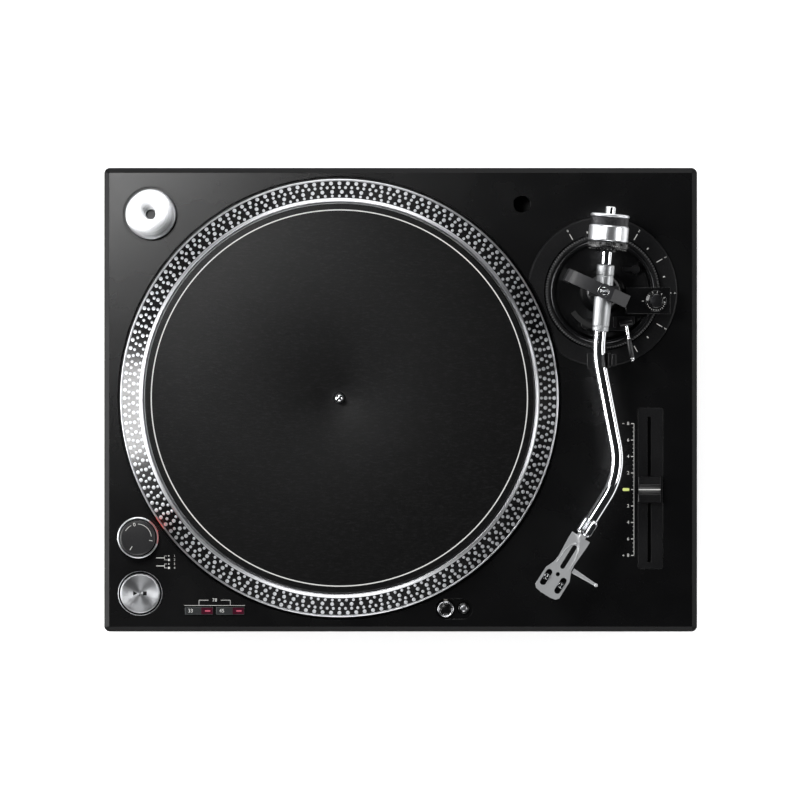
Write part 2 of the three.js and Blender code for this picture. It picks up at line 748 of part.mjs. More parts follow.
function fingerLift() {
  const side = turned(0, 0, 0, Math.PI / 2);
  const place = new THREE.Matrix4().multiplyMatrices(headPlan, side);
  const outline = new THREE.Shape();
  outline.moveTo(8.1, -83.7);
  outline.lineTo(28, -82.4);
  outline.lineTo(28, -80.8);
  outline.lineTo(7.6, -79.9);
  outline.closePath();
  const blade = slab(outline, 0.6, 2.2, 0, 0, 5, place);
  const ball = new THREE.SphereGeometry(1.5, 10, 6);
  ball.rotateX(Math.PI / 2);
  ball.translate(28.9, -81.6, 1.4);
  ball.applyMatrix4(place);
  return join([blade, solid(ball)]);
}

function cartridge() {
  const body = block(87, 105, -8.2, 8.2, -15.6, -0.1, headPlan);
  const nose = block(100, 106.4, -4, 4, -17.4, -11, headPlan);
  const tools = [
    rod(1.5, -20, 5, 0, 0, 8, new THREE.Matrix4().multiplyMatrices(headPlan, turned(96, 6.35, 0, 0))),
    rod(1.5, -20, 5, 0, 0, 8, new THREE.Matrix4().multiplyMatrices(headPlan, turned(96, -6.35, 0, 0))),
  ];
  return cut(join([body, nose]), tools);
}

function stylus() {
  const geometry = new THREE.BoxGeometry(9, 1.2, 1.2);
  geometry.rotateY(24 * DEG);
  geometry.translate(100.4, 0, -19.8);
  geometry.applyMatrix4(headPlan);
  const hanger = block(94, 99, -2.4, 2.4, -20.4, -15.9, headPlan);
  return join([hanger, solid(geometry)]);
}

function cartridgeScrew(side) {
  const profile = [
    [0, -9], [1.2, -9], [1.2, 3.5], [2.4, 3.5], [2.4, 4.6], [1.9, 5], [0, 5],
  ];
  const place = new THREE.Matrix4().multiplyMatrices(headPlan, turned(96, side * 6.35, 0, 0));
  const body = lathe(profile, 10, 0, 0, place);
  return cut(body, [block(-3, 3, -0.35, 0.35, 4.4, 6, place)]);
}

add('top_panel', topPanel(), BLACK, 0.45, 0.2);
add('bottom_case', bottomCase(), 0x111112, 0.8, 0);
feet().forEach(([x, y], i) => {
  const name = ['foot_front_left', 'foot_front_right', 'foot_rear_left', 'foot_rear_right'][i];
  add(name, foot(x, y), 0x101011, 0.8, 0);
});
add('main_board', mainBoard(), 0x1c4a2a, 0.6, 0);
add('power_supply', powerSupply(), 0x6b5a3a, 0.5, 0.3);
add('bearing_housing', bearingHousing(), SILVER, 0.4, 0.8);
add('motor_stator', motorStator(), 0x8a4b22, 0.5, 0.5);
add('rotor_magnet', rotorMagnet(), DARK, 0.5, 0.3);
add('jack_plate', jackPlate(), DARK, 0.6, 0.2);
add('ground_post', groundPost(), CHROME, 0.3, 0.9);
add('mains_inlet', mainsInlet(), BLACK, 0.7, 0);
add('platter', platter(), SILVER, 0.3, 0.8);
add('slip_mat', slipMat(), 0x2c2c30, 0.95, 0);
add('spindle', spindle(), CHROME, 0.2, 1);
add('record_adapter', recordAdapter(), SILVER, 0.3, 0.8);
add('strobe_tower', strobeTower(), CHROME, 0.25, 0.9);
add('strobe_lens', strobeLens(), 0xd01810, 0.3, 0);
add('power_knob', powerKnob(), DARK, 0.5, 0.2);
add('start_stop_button', startButton(), SILVER, 0.3, 0.8);
add('speed_button_33', speedButton(SPEED_33_X), SILVER, 0.35, 0.7);
add('speed_button_45', speedButton(SPEED_45_X), SILVER, 0.35, 0.7);
add('speed_switches', speedSwitches(), 0x1c4a2a, 0.6, 0);
add('lamp_guide', lampGuide(), DARK, 0.6, 0);
add('stylus_lamp', stylusLamp(), SILVER, 0.3, 0.8);
add('lamp_button', lampButton(), SILVER, 0.3, 0.8);
add('headshell_holder', headshellHolder(), BLACK, 0.7, 0);
add('tempo_panel', tempoPanel(), BLACK, 0.4, 0.1);
add('tempo_body', tempoBody(), DARK, 0.6, 0.2);
add('tempo_slider', tempoSlider(), BLACK, 0.6, 0);
add('height_dial_plate', heightDialPlate(), BLACK, 0.5, 0.1);
add('height_ring', heightRing(), BLACK, 0.5, 0.2);
add('arm_base', armBase(), BLACK, 0.4, 0.2);
add('arm_pillar', armPillar(), BLACK, 0.4, 0.2);
add('gimbal_bridge', gimbalBridge(), DARK, 0.45, 0.3);
add('pivot_screw', pivotScrew(), CHROME, 0.3, 0.9);
add('antiskate_block', antiskateBlock(), BLACK, 0.4, 0.1);
add('antiskate_knob', antiskateKnob(), BLACK, 0.5, 0.1);
add('lift_platform', liftPlatform(), DARK, 0.6, 0.1);
add('cue_bracket', cueBracket(), BLACK, 0.5, 0.1);
add('cue_lever', cueLever(), SILVER, 0.3, 0.8);
add('height_lock', heightLock(), BLACK, 0.5, 0.1);
add('arm_rest', armRest(), BLACK, 0.5, 0.1);
add('rest_clip', restClip(), BLACK, 0.5, 0.1);
add('gimbal_frame', gimbalFrame(), DARK, 0.4, 0.4);
add('arm_housing', armHousing(), SILVER, 0.35, 0.9);
add('arm_tube', armTube(), CHROME, 0.12, 1);
add('rear_shaft', rearShaft(), CHROME, 0.15, 1);
add('counterweight_core', counterweightCore(), DARK, 0.5, 0.3);
add('counterweight', counterweight(), CHROME, 0.15, 1);
add('force_dial', forceDial(), BLACK, 0.4, 0.1);
add('locking_collar', lockingCollar(), CHROME, 0.2, 1);
add('headshell', headshell(), SILVER, 0.35, 0.8);
add('finger_lift', fingerLift(), SILVER, 0.35, 0.8);
add('cartridge', cartridge(), BLACK, 0.5, 0.1);
add('stylus', stylus(), 0xdddddd, 0.4, 0.2);
add('cartridge_screw_left', cartridgeScrew(1), CHROME, 0.3, 0.9);
add('cartridge_screw_right', cartridgeScrew(-1), CHROME, 0.3, 0.9);

export default group;
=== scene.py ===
import json
import math

import bmesh
import bpy
import numpy as np
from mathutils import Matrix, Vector

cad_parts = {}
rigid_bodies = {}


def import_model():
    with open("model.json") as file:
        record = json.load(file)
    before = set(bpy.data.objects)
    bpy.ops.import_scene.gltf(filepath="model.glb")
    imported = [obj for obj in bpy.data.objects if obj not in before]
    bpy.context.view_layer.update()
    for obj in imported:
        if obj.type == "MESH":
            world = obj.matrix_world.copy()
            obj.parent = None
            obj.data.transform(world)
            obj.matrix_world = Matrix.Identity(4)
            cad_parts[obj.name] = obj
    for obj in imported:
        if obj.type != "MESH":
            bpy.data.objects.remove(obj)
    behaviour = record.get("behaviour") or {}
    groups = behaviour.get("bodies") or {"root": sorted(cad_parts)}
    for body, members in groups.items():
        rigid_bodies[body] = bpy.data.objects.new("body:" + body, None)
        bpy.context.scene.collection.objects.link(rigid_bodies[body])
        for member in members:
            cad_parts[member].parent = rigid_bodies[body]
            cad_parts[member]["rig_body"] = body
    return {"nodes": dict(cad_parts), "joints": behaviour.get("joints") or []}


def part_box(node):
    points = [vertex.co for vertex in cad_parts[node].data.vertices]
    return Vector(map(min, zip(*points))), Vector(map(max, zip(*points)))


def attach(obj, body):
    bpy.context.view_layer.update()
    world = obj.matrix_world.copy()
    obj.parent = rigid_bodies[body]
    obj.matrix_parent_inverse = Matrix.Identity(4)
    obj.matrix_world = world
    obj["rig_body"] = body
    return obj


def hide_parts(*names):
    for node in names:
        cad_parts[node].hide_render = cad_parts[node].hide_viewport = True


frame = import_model()

bl_info = {
    "name": "Turntable",
    "version": (1, 0, 0),
    "blender": (4, 5, 0),
    "location": "View3D > Sidebar > Turntable",
    "description": "Builds a direct-drive turntable round its packed mechanical frame",
    "category": "Object",
}

MM = 0.001
NODES = frame["nodes"]
JOINTS = {j["name"]: j for j in frame["joints"]}
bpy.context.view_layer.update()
UP = np.array([0.0, 0.0, 1.0])


# ---------------------------------------------------------------- places


def corners(node):
    """The lowest and highest corner of a node, in millimetres."""
    return [np.array(v, float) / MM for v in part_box(node)]


def middle(node):
    """The centre of a node's box, in millimetres."""
    low, high = corners(node)
    return (low + high) / 2


def level(vector):
    """A joint's axis as a level unit vector."""
    v = np.array([vector[0], vector[1], 0.0])
    return v / np.linalg.norm(v)


DECK = corners("top_panel")[1][2]
HUB = middle("platter")
PIVOT = np.array(JOINTS["arm_yaw"]["pos_m"]) / MM
FORE = -level(JOINTS["weight_slide"]["axis"])
HEAD = level(JOINTS["headshell_pull"]["axis"])
WRIST = np.array(JOINTS["collar_turn"]["pos_m"]) / MM - 48 * HEAD
ELBOW = PIVOT + np.array([-4.1, -47.7, 0.0])
MAT_RADIUS = 147.2
SPINDLE_HOLE = 4.0
RING_TEETH = 132
CAMERA_AT = (-0.0005, -0.0002, 6.58)
FOCAL_LENGTH = 385.0
EDGE_DEPTH = 12
PRINT_LIFT = 0.04
PRINT_DEPTH = 0.14


# ---------------------------------------------------------------- surfaces


def soften(profile, radius, steps=4):
    """Rounds every corner of a profile with a quadratic curve: it starts a radius before the
    corner, ends a radius after it, and the corner pulls it. Ends on the axis stay."""
    p = np.asarray(profile, float)
    open_ends = p[0, 0] == 0 and p[-1, 0] == 0
    before, after = np.roll(p, 1, 0) - p, np.roll(p, -1, 0) - p
    size_b = np.maximum(np.linalg.norm(before, axis=1, keepdims=True), 1e-9)
    size_a = np.maximum(np.linalg.norm(after, axis=1, keepdims=True), 1e-9)
    reach = np.minimum(radius, 0.45 * np.minimum(size_a, size_b))
    a, b = p + before / size_b * reach, p + after / size_a * reach
    s = np.linspace(0, 1, steps + 1)[:, None, None]
    curve = (1 - s) ** 2 * a + 2 * s * (1 - s) * p + s**2 * b
    curve = curve.transpose(1, 0, 2)
    if open_ends:
        return np.vstack([p[:1], curve[1:-1].reshape(-1, 2), p[-1:]])
    return curve.reshape(-1, 2)


def lathe(profile, steps=96, ripple=None):
    """Turns (radius, height) pairs about Z: x = r cos t, y = r sin t, z = h. A profile that starts
    and ends on the axis closes in two poles, and any other closes on itself. ripple(r, h, t) may
    change the radius round the turn."""
    p = np.asarray(profile, float)
    q = np.roll(p, -1, 0)
    if np.sum(p[:, 0] * q[:, 1] - q[:, 0] * p[:, 1]) < 0:
        p = p[::-1]
    poles = p[0, 0] == 0 and p[-1, 0] == 0
    rings = p[1:-1] if poles else p
    count = len(rings)
    t = np.linspace(0, 2 * np.pi, steps, endpoint=False)[None, :]
    r, h = rings[:, :1] + 0 * t, rings[:, 1:] + 0 * t
    if ripple is not None:
        r = ripple(r, h, t)
    points = np.stack([r * np.cos(t), r * np.sin(t), h], -1).reshape(-1, 3)
    i = np.arange(count - 1 if poles else count)[:, None]
    j = np.arange(steps)[None, :]
    nxt, up = (j + 1) % steps, (i + 1) % count
    quads = np.stack([i * steps + j, i * steps + nxt, up * steps + nxt, up * steps + j], -1)
    faces = quads.reshape(-1, 4).tolist()
    if poles:
        points = np.vstack([points, [[0, 0, p[0, 1]], [0, 0, p[-1, 1]]]])
        j = np.arange(steps)
        nxt = (j + 1) % steps
        bottom, top = len(points) - 2, len(points) - 1
        faces += np.stack([0 * j + bottom, nxt, j], -1).tolist()
        last = (count - 1) * steps
        faces += np.stack([0 * j + top, last + j, last + nxt], -1).tolist()
    return points, faces


def sweep(path, radius, steps=28):
    """Carries a circle along a level path: point = path + r (cos a side + sin a up), where side is
    up crossed with the path's direction. The ends close in poles."""
    path = np.asarray(path, float)
    heading = np.gradient(path, axis=0)
    heading /= np.linalg.norm(heading, axis=1, keepdims=True)
    side = np.cross(UP, heading)[:, None, :]
    a = np.linspace(0, 2 * np.pi, steps, endpoint=False)[None, :, None]
    r = np.broadcast_to(np.asarray(radius, float), (len(path),))[:, None, None]
    points = path[:, None, :] + r * (np.cos(a) * side + np.sin(a) * UP)
    points = np.vstack([points.reshape(-1, 3), path[:1], path[-1:]])
    i = np.arange(len(path) - 1)[:, None]
    j = np.arange(steps)[None, :]
    nxt = (j + 1) % steps
    quads = np.stack([i * steps + j, i * steps + nxt, (i + 1) * steps + nxt, (i + 1) * steps + j], -1)
    faces = quads.reshape(-1, 4).tolist()
    j, last = np.arange(steps), (len(path) - 1) * steps
    nxt = (j + 1) % steps
    faces += np.stack([0 * j + len(points) - 2, nxt, j], -1).tolist()
    faces += np.stack([0 * j + len(points) - 1, last + j, last + nxt], -1).tolist()
    return points, faces


def slab(outline, low, high):
    """Lifts a closed outline, given anticlockwise, from one height to another."""
    outline = np.asarray(outline, float)
    n = len(outline)
    bottom = np.column_stack([outline, np.full(n, float(low))])
    top = np.column_stack([outline, np.full(n, float(high))])
    j = np.arange(n)
    nxt = (j + 1) % n
    faces = np.stack([j, nxt, n + nxt, n + j], -1).tolist()
    return np.vstack([bottom, top]), faces + [j[::-1].tolist(), (n + j).tolist()]


def pill(width, depth, radius, x=0.0, y=0.0, steps=8):
    """The outline of a rectangle with round corners: four quarter circles, joined."""
    q = np.linspace(0, np.pi / 2, steps)[None, :] + np.arange(4)[:, None] * np.pi / 2
    cx = (width / 2 - radius) * np.array([1, -1, -1, 1])[:, None]
    cy = (depth / 2 - radius) * np.array([1, 1, -1, -1])[:, None]
    return np.stack([x + cx + radius * np.cos(q), y + cy + radius * np.sin(q)], -1).reshape(-1, 2)


def bricks(centres, sizes, turns=0.0):
    """Many boxes at once: centre + turned (half size x corner sign)."""
    centres = np.atleast_2d(np.asarray(centres, float))
    n = len(centres)
    sizes = np.broadcast_to(np.asarray(sizes, float), (n, 3))
    turns = np.broadcast_to(np.asarray(turns, float), (n,))
    signs = np.array([[x, y, z] for z in (-1, 1) for x, y in ((-1, -1), (1, -1), (1, 1), (-1, 1))])
    local = signs[None] * sizes[:, None] / 2
    c, s = np.cos(turns)[:, None], np.sin(turns)[:, None]
    x = local[..., 0] * c - local[..., 1] * s
    y = local[..., 0] * s + local[..., 1] * c
    points = np.stack([x, y, local[..., 2]], -1) + centres[:, None]
    one = np.array([[3, 2, 1, 0], [4, 5, 6, 7], [0, 1, 5, 4], [1, 2, 6, 5], [2, 3, 7, 6], [3, 0, 4, 7]])
    faces = (one[None] + 8 * np.arange(n)[:, None, None]).reshape(-1, 4)
    return points.reshape(-1, 3), faces.tolist()


def spokes(angles, inner, outer, width, low, high, x=0.0, y=0.0):
    """Marks that point at a centre: a box between two radii at each angle."""
    a = np.asarray(angles, float)
    r, size = (inner + outer) / 2 + 0 * a, outer - inner + 0 * a
    centres = np.stack([x + r * np.cos(a), y + r * np.sin(a), (low + high) / 2 + 0 * a], -1)
    return bricks(centres, np.stack([size, width + 0 * a, high - low + 0 * a], -1), a)


def arc_band(start, stop, inner, outer, low, high, x=0.0, y=0.0, steps=48):
    """Part of a flat ring, from one angle to another."""
    a = np.linspace(start, stop, steps)
    out = np.stack([x + outer * np.cos(a), y + outer * np.sin(a)], -1)
    back = np.stack([x + inner * np.cos(a[::-1]), y + inner * np.sin(a[::-1])], -1)
    return slab(np.vstack([out, back]), low, high)


def moved(part, offset):
    """The same surface, shifted."""
    return part[0] + np.asarray(offset, float), part[1]


def laid(part, origin, forward):
    """Turns local z to a level direction and local y upwards."""
    side = np.cross(UP, forward)
    p = part[0]
    return p[:, :1] * side + p[:, 1:2] * UP + p[:, 2:] * forward + origin, part[1]


def numeral(text, height, thickness, x, y, z, turn=0.0):
    """A number as a thin raised print, centred on a point and turned about Z."""
    curve = bpy.data.curves.new("print", "FONT")
    curve.body, curve.align_x, curve.align_y = text, "CENTER", "CENTER"
    curve.size, curve.extrude, curve.resolution_u = height * 1.4, thickness / 2, 3
    holder = bpy.data.objects.new("print", curve)
    bpy.context.scene.collection.objects.link(holder)
    bpy.context.view_layer.update()
    mesh = bpy.data.meshes.new_from_object(holder.evaluated_get(bpy.context.evaluated_depsgraph_get()))
    points = np.zeros(len(mesh.vertices) * 3)
    mesh.vertices.foreach_get("co", points)
    points = points.reshape(-1, 3)
    faces = [list(f.vertices) for f in mesh.polygons]
    bpy.data.objects.remove(holder)
    bpy.data.meshes.remove(mesh)
    bpy.data.curves.remove(curve)
    c, s = math.cos(turn), math.sin(turn)
    turned = np.stack([points[:, 0] * c - points[:, 1] * s, points[:, 0] * s + points[:, 1] * c], -1)
    return np.column_stack([turned[:, 0] + x, turned[:, 1] + y, points[:, 2] + z]), faces


def joined(parts):
    """Several surfaces as one set of points and faces."""
    points, faces, base = [], [], 0
    for p, f in parts:
        points.append(p)
        faces += [[i + base for i in face] for face in f]
        base += len(p)
    return np.vstack(points), faces


# ---------------------------------------------------------------- pieces


def put(name, part, finish, body, stands_for=(), bevel=0.0, angle=32.0, segments=2):
    """Makes a piece from points in millimetres and faces, and ties it to its body."""
    points, faces = joined(part) if isinstance(part, list) else part
    mesh = bpy.data.meshes.new(name)
    mesh.from_pydata((np.asarray(points) * MM).tolist(), [], faces)
    mesh.shade_smooth()
    mesh.set_sharp_from_angle(angle=math.radians(angle))
    piece = bpy.data.objects.new(name, mesh)
    bpy.context.scene.collection.objects.link(piece)
    mesh.materials.append(finish)
    if bevel:
        edge = piece.modifiers.new("edges", "BEVEL")
        edge.width, edge.segments, edge.limit_method = bevel * MM, segments, "ANGLE"
        edge.angle_limit = math.radians(angle)
    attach(piece, body)
    if stands_for:
        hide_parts(*stands_for)
    return piece


def turned(name, shape, rounding, steps, place, look, body, slot, stands_for=(), ripple=None, along=None):
    """A piece from a rounded profile, turned about an upright line or one along a level direction."""
    part = lathe(soften(shape, *rounding), steps, ripple)
    part = moved(part, place) if along is None else laid(part, place, along)
    return put(name, part, finish(look), body, stands_for)


def refined(node, finish, bevel=0.3, angle=32.0):
    """A copy of a node, with its points merged, flat faces joined and edges rounded."""
    source = NODES[node]
    work = bmesh.new()
    work.from_mesh(source.data)
    bmesh.ops.remove_doubles(work, verts=work.verts, dist=3e-6)
    bmesh.ops.dissolve_limit(work, angle_limit=math.radians(0.6), verts=work.verts, edges=work.edges)
    work.verts.index_update()
    points = np.array([v.co for v in work.verts]) / MM
    faces = [[v.index for v in f.verts] for f in work.faces]
    work.free()
    return put(node + "_shell", (points, faces), finish, source["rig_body"], (node,), bevel, angle)


def coat(node, finish):
    """Gives a node that stays as it is its finish."""
    slots = NODES[node].data.materials
    slots.clear()
    slots.append(finish)


# ---------------------------------------------------------------- finishes


def group(name, inputs, outputs):
    """A shader node group with named sockets."""
    tree = bpy.data.node_groups.new(name, "ShaderNodeTree")
    for label, kind, value in inputs:
        socket = tree.interface.new_socket(name=label, in_out="INPUT", socket_type=kind)
        socket.default_value = value
    for label, kind in outputs:
        tree.interface.new_socket(name=label, in_out="OUTPUT", socket_type=kind)
    return tree, tree.nodes.new("NodeGroupInput"), tree.nodes.new("NodeGroupOutput")


def add(tree, kind, links=(), **values):
    """Adds a node, sets its fields, and links (socket, output) pairs into it."""
    node = tree.nodes.new(kind)
    for field, value in values.items():
        setattr(node, field, value)
    for socket, source in links:
        if hasattr(source, "is_linked"):
            tree.links.new(source, node.inputs[socket])
        else:
            node.inputs[socket].default_value = source
    return node


def math_node(tree, operation, *sources):
    return add(tree, "ShaderNodeMath", list(enumerate(sources)), operation=operation).outputs[0]


def blended(tree, factor, first, second):
    """A colour between two others."""
    pairs = [(0, factor), (6, first), (7, second)]
    return add(tree, "ShaderNodeMix", pairs, data_type="RGBA").outputs[2]


def ranged(tree, value, low, high, to_low, to_high):
    pairs = [(0, value), (1, low), (2, high), (3, to_low), (4, to_high)]
    return add(tree, "ShaderNodeMapRange", pairs, clamp=True).outputs[0]


def build_grain():
    """Paint and plastic: two noises mottle the colour and roughness, and a fine one lifts the surface."""
    tree, given, result = group(
        "grain",
        [
            ("Color", "NodeSocketColor", (0.02, 0.02, 0.02, 1)),
            ("Fleck", "NodeSocketColor", (0.05, 0.05, 0.05, 1)),
            ("Roughness", "NodeSocketFloat", 0.4),
            ("Spread", "NodeSocketFloat", 0.1),
            ("Scale", "NodeSocketFloat", 900.0),
            ("Relief", "NodeSocketFloat", 0.1),
        ],
        [("Color", "NodeSocketColor"), ("Roughness", "NodeSocketFloat"), ("Normal", "NodeSocketVector")],
    )
    place = add(tree, "ShaderNodeTexCoord").outputs["Object"]
    fine = add(
        tree,
        "ShaderNodeTexNoise",
        [("Vector", place), ("Scale", given.outputs["Scale"]), ("Detail", 3.0), ("Roughness", 0.6)],
    ).outputs[0]
    broad = add(tree, "ShaderNodeTexNoise", [("Vector", place), ("Scale", 26.0), ("Detail", 4.0)]).outputs[0]
    fleck = ranged(tree, fine, 0.5, 0.72, 0.0, 1.0)
    colour = blended(tree, fleck, given.outputs["Color"], given.outputs["Fleck"])
    shift = ranged(tree, broad, 0.35, 0.65, -0.5, 0.5)
    rough = math_node(
        tree, "ADD", given.outputs["Roughness"], math_node(tree, "MULTIPLY", shift, given.outputs["Spread"])
    )
    bump = add(
        tree,
        "ShaderNodeBump",
        [("Strength", given.outputs["Relief"]), ("Distance", 0.00008), ("Height", fine)],
    )
    tree.links.new(colour, result.inputs["Color"])
    tree.links.new(rough, result.inputs["Roughness"])
    tree.links.new(bump.outputs[0], result.inputs["Normal"])
    return tree


def build_turning():
    """Lathe marks: a noise along the distance from a centre line gives rings of tone and height."""
    tree, given, result = group(
        "turning",
        [
            ("Centre", "NodeSocketVector", (0, 0, 0)),
            ("Axis", "NodeSocketVector", (0, 0, 1)),
            ("Color", "NodeSocketColor", (0.7, 0.7, 0.7, 1)),
            ("Groove", "NodeSocketColor", (0.5, 0.5, 0.5, 1)),
            ("Roughness", "NodeSocketFloat", 0.25),
            ("Spread", "NodeSocketFloat", 0.1),
            ("Scale", "NodeSocketFloat", 3000.0),
            ("Relief", "NodeSocketFloat", 0.1),
        ],
        [("Color", "NodeSocketColor"), ("Roughness", "NodeSocketFloat"), ("Normal", "NodeSocketVector")],
    )
    place = add(tree, "ShaderNodeTexCoord").outputs["Object"]
    off = add(tree, "ShaderNodeVectorMath", [(0, place), (1, given.outputs["Centre"])], operation="SUBTRACT")
    cross = add(
        tree, "ShaderNodeVectorMath", [(0, off.outputs[0]), (1, given.outputs["Axis"])],
        operation="CROSS_PRODUCT"
    )
    far = add(tree, "ShaderNodeVectorMath", [(0, cross.outputs[0])], operation="LENGTH").outputs["Value"]
    run = add(
        tree, "ShaderNodeVectorMath", [(0, off.outputs[0]), (1, given.outputs["Axis"])],
        operation="DOT_PRODUCT"
    ).outputs["Value"]
    where = math_node(tree, "ADD", far, run)
    rings = add(
        tree,
        "ShaderNodeTexNoise",
        [("W", where), ("Scale", given.outputs["Scale"]), ("Detail", 4.0), ("Roughness", 0.7)],
        noise_dimensions="1D",
    ).outputs[0]
    tone = ranged(tree, rings, 0.3, 0.7, 0.0, 1.0)
    colour = blended(tree, tone, given.outputs["Groove"], given.outputs["Color"])
    shift = math_node(tree, "MULTIPLY", ranged(tree, rings, 0.3, 0.7, 0.5, -0.5), given.outputs["Spread"])
    rough = math_node(tree, "ADD", given.outputs["Roughness"], shift)
    bump = add(
        tree,
        "ShaderNodeBump",
        [("Strength", given.outputs["Relief"]), ("Distance", 0.00005), ("Height", rings)],
    )
    tree.links.new(colour, result.inputs["Color"])
    tree.links.new(rough, result.inputs["Roughness"])
    tree.links.new(bump.outputs[0], result.inputs["Normal"])
    return tree


def build_weave():
    """Felt: a long noise for the lie of the fibres, a short one for their ends, and crossed waves."""
    tree, given, result = group(
        "weave",
        [
            ("Color", "NodeSocketColor", (0.01, 0.01, 0.01, 1)),
            ("Fleck", "NodeSocketColor", (0.03, 0.03, 0.03, 1)),
            ("Roughness", "NodeSocketFloat", 0.9),
            ("Scale", "NodeSocketFloat", 700.0),
            ("Relief", "NodeSocketFloat", 0.6),
        ],
        [("Color", "NodeSocketColor"), ("Roughness", "NodeSocketFloat"), ("Normal", "NodeSocketVector")],
    )
    place = add(tree, "ShaderNodeTexCoord").outputs["Object"]
    drawn = add(tree, "ShaderNodeMapping", [("Vector", place), ("Scale", (0.3, 1.0, 1.0))]).outputs[0]
    lie = add(
        tree,
        "ShaderNodeTexNoise",
        [("Vector", drawn), ("Scale", given.outputs["Scale"]), ("Detail", 4.0), ("Roughness", 0.65)],
    ).outputs[0]
    ends = add(
        tree,
        "ShaderNodeTexNoise",
        [("Vector", place), ("Scale", 1900.0), ("Detail", 3.0), ("Roughness", 0.7)],
    ).outputs[0]
    mixed = math_node(
        tree, "ADD", math_node(tree, "MULTIPLY", lie, 0.65), math_node(tree, "MULTIPLY", ends, 0.35)
    )
    colour = blended(
        tree, ranged(tree, mixed, 0.5, 0.62, 0.0, 1.0), given.outputs["Color"], given.outputs["Fleck"]
    )
    bump = add(
        tree,
        "ShaderNodeBump",
        [("Strength", given.outputs["Relief"]), ("Distance", 0.00015), ("Height", mixed)],
    )
    tree.links.new(colour, result.inputs["Color"])
    tree.links.new(given.outputs["Roughness"], result.inputs["Roughness"])
    tree.links.new(bump.outputs[0], result.inputs["Normal"])
    return tree


GROUPS = {}


def material(
    name, effect, values, metallic=0.0, specular=0.5, coat_weight=0.0, sheen=0.0, turned=0.0, glow=None
):
    """A finish: one effect group feeds a Principled shader, whose even values sit on its sockets."""
    if not GROUPS:
        GROUPS.update(grain=build_grain(), turning=build_turning(), weave=build_weave())
    finish = bpy.data.materials.new(name)
    finish.use_nodes = True
    tree = finish.node_tree
    shader = next(n for n in tree.nodes if n.type == "BSDF_PRINCIPLED")
    node = tree.nodes.new("ShaderNodeGroup")
    node.node_tree = GROUPS[effect]
    for label, value in values.items():
        node.inputs[label].default_value = (*value, 1.0) if label in ("Color", "Fleck", "Groove") else value
    tree.links.new(node.outputs["Color"], shader.inputs["Base Color"])
    tree.links.new(node.outputs["Roughness"], shader.inputs["Roughness"])
    tree.links.new(node.outputs["Normal"], shader.inputs["Normal"])
    shader.inputs["Metallic"].default_value = metallic
    shader.inputs["Specular IOR Level"].default_value = specular
    shader.inputs["Coat Weight"].default_value = coat_weight
    shader.inputs["Coat Roughness"].default_value = 0.12
    shader.inputs["Sheen Weight"].default_value = sheen
    if turned:
        shader.inputs["Anisotropic"].default_value = turned
        tangent = add(tree, "ShaderNodeTangent", direction_type="RADIAL", axis="Z")
        tree.links.new(tangent.outputs[0], shader.inputs["Tangent"])
    if glow:
        shader.inputs["Emission Color"].default_value = (*glow[0], 1.0)
        shader.inputs["Emission Strength"].default_value = glow[1]
    return finish


def painted(name, color, fleck, rough, spread=0.08, scale=900.0, relief=0.1, **rest):
    values = {
        "Color": color, "Fleck": fleck, "Roughness": rough, "Spread": spread, "Scale": scale,
        "Relief": relief,
    }
    return material(name, "grain", values, **rest)


def woven(name, color, fleck):
    values = {"Color": color, "Fleck": fleck, "Roughness": 0.4, "Scale": 900.0, "Relief": 0.8}
    return material(name, "weave", values, specular=0.3)


def spun(name, centre, axis, color, groove, rough, spread=0.1, scale=3000.0, relief=0.1, **rest):
    values = {
        "Centre": tuple(np.asarray(centre, float) * MM),
        "Axis": tuple(float(v) for v in axis),
        "Color": color,
        "Groove": groove,
        "Roughness": rough,
        "Spread": spread,
        "Scale": scale,
        "Relief": relief,
    }
    return material(name, "turning", values, metallic=1.0, **rest)


# ---------------------------------------------------------------- settings


class TurntablePlinth(bpy.types.PropertyGroup):
    paint: bpy.props.FloatVectorProperty(
        name="Paint", description="Colour of the deck", subtype="COLOR", size=3,
        default=(0.0016, 0.0016, 0.0018)
    )
    print_color: bpy.props.FloatVectorProperty(
        name="Print", description="Colour of the printed scales", subtype="COLOR", size=3,
        default=(0.62, 0.62, 0.6)
    )
    led: bpy.props.FloatVectorProperty(
        name="Light", description="Colour of the speed lights", subtype="COLOR", size=3,
        default=(0.55, 0.1, 0.16)
    )


class TurntablePlatter(bpy.types.PropertyGroup):
    metal: bpy.props.FloatVectorProperty(
        name="Metal", description="Colour of the machined rim", subtype="COLOR", size=3,
        default=(0.74, 0.75, 0.77)
    )
    dot_size: bpy.props.FloatProperty(
        name="Dot size", description="Diameter of the largest rim dots", subtype="DISTANCE", default=0.003
    )
    felt: bpy.props.FloatVectorProperty(
        name="Felt", description="Colour of the mat", subtype="COLOR", size=3, default=(0.001, 0.001, 0.0011)
    )


class TurntableArm(bpy.types.PropertyGroup):
    tube_radius: bpy.props.FloatProperty(
        name="Tube radius", description="Radius of the arm tube", subtype="DISTANCE", default=0.0048
    )
    chrome: bpy.props.FloatVectorProperty(
        name="Chrome", description="Colour of the plated parts", subtype="COLOR", size=3,
        default=(0.8, 0.81, 0.83)
    )
    satin: bpy.props.FloatVectorProperty(
        name="Satin", description="Colour of the blasted parts", subtype="COLOR", size=3,
        default=(0.42, 0.43, 0.44)
    )


FINISHES = {}


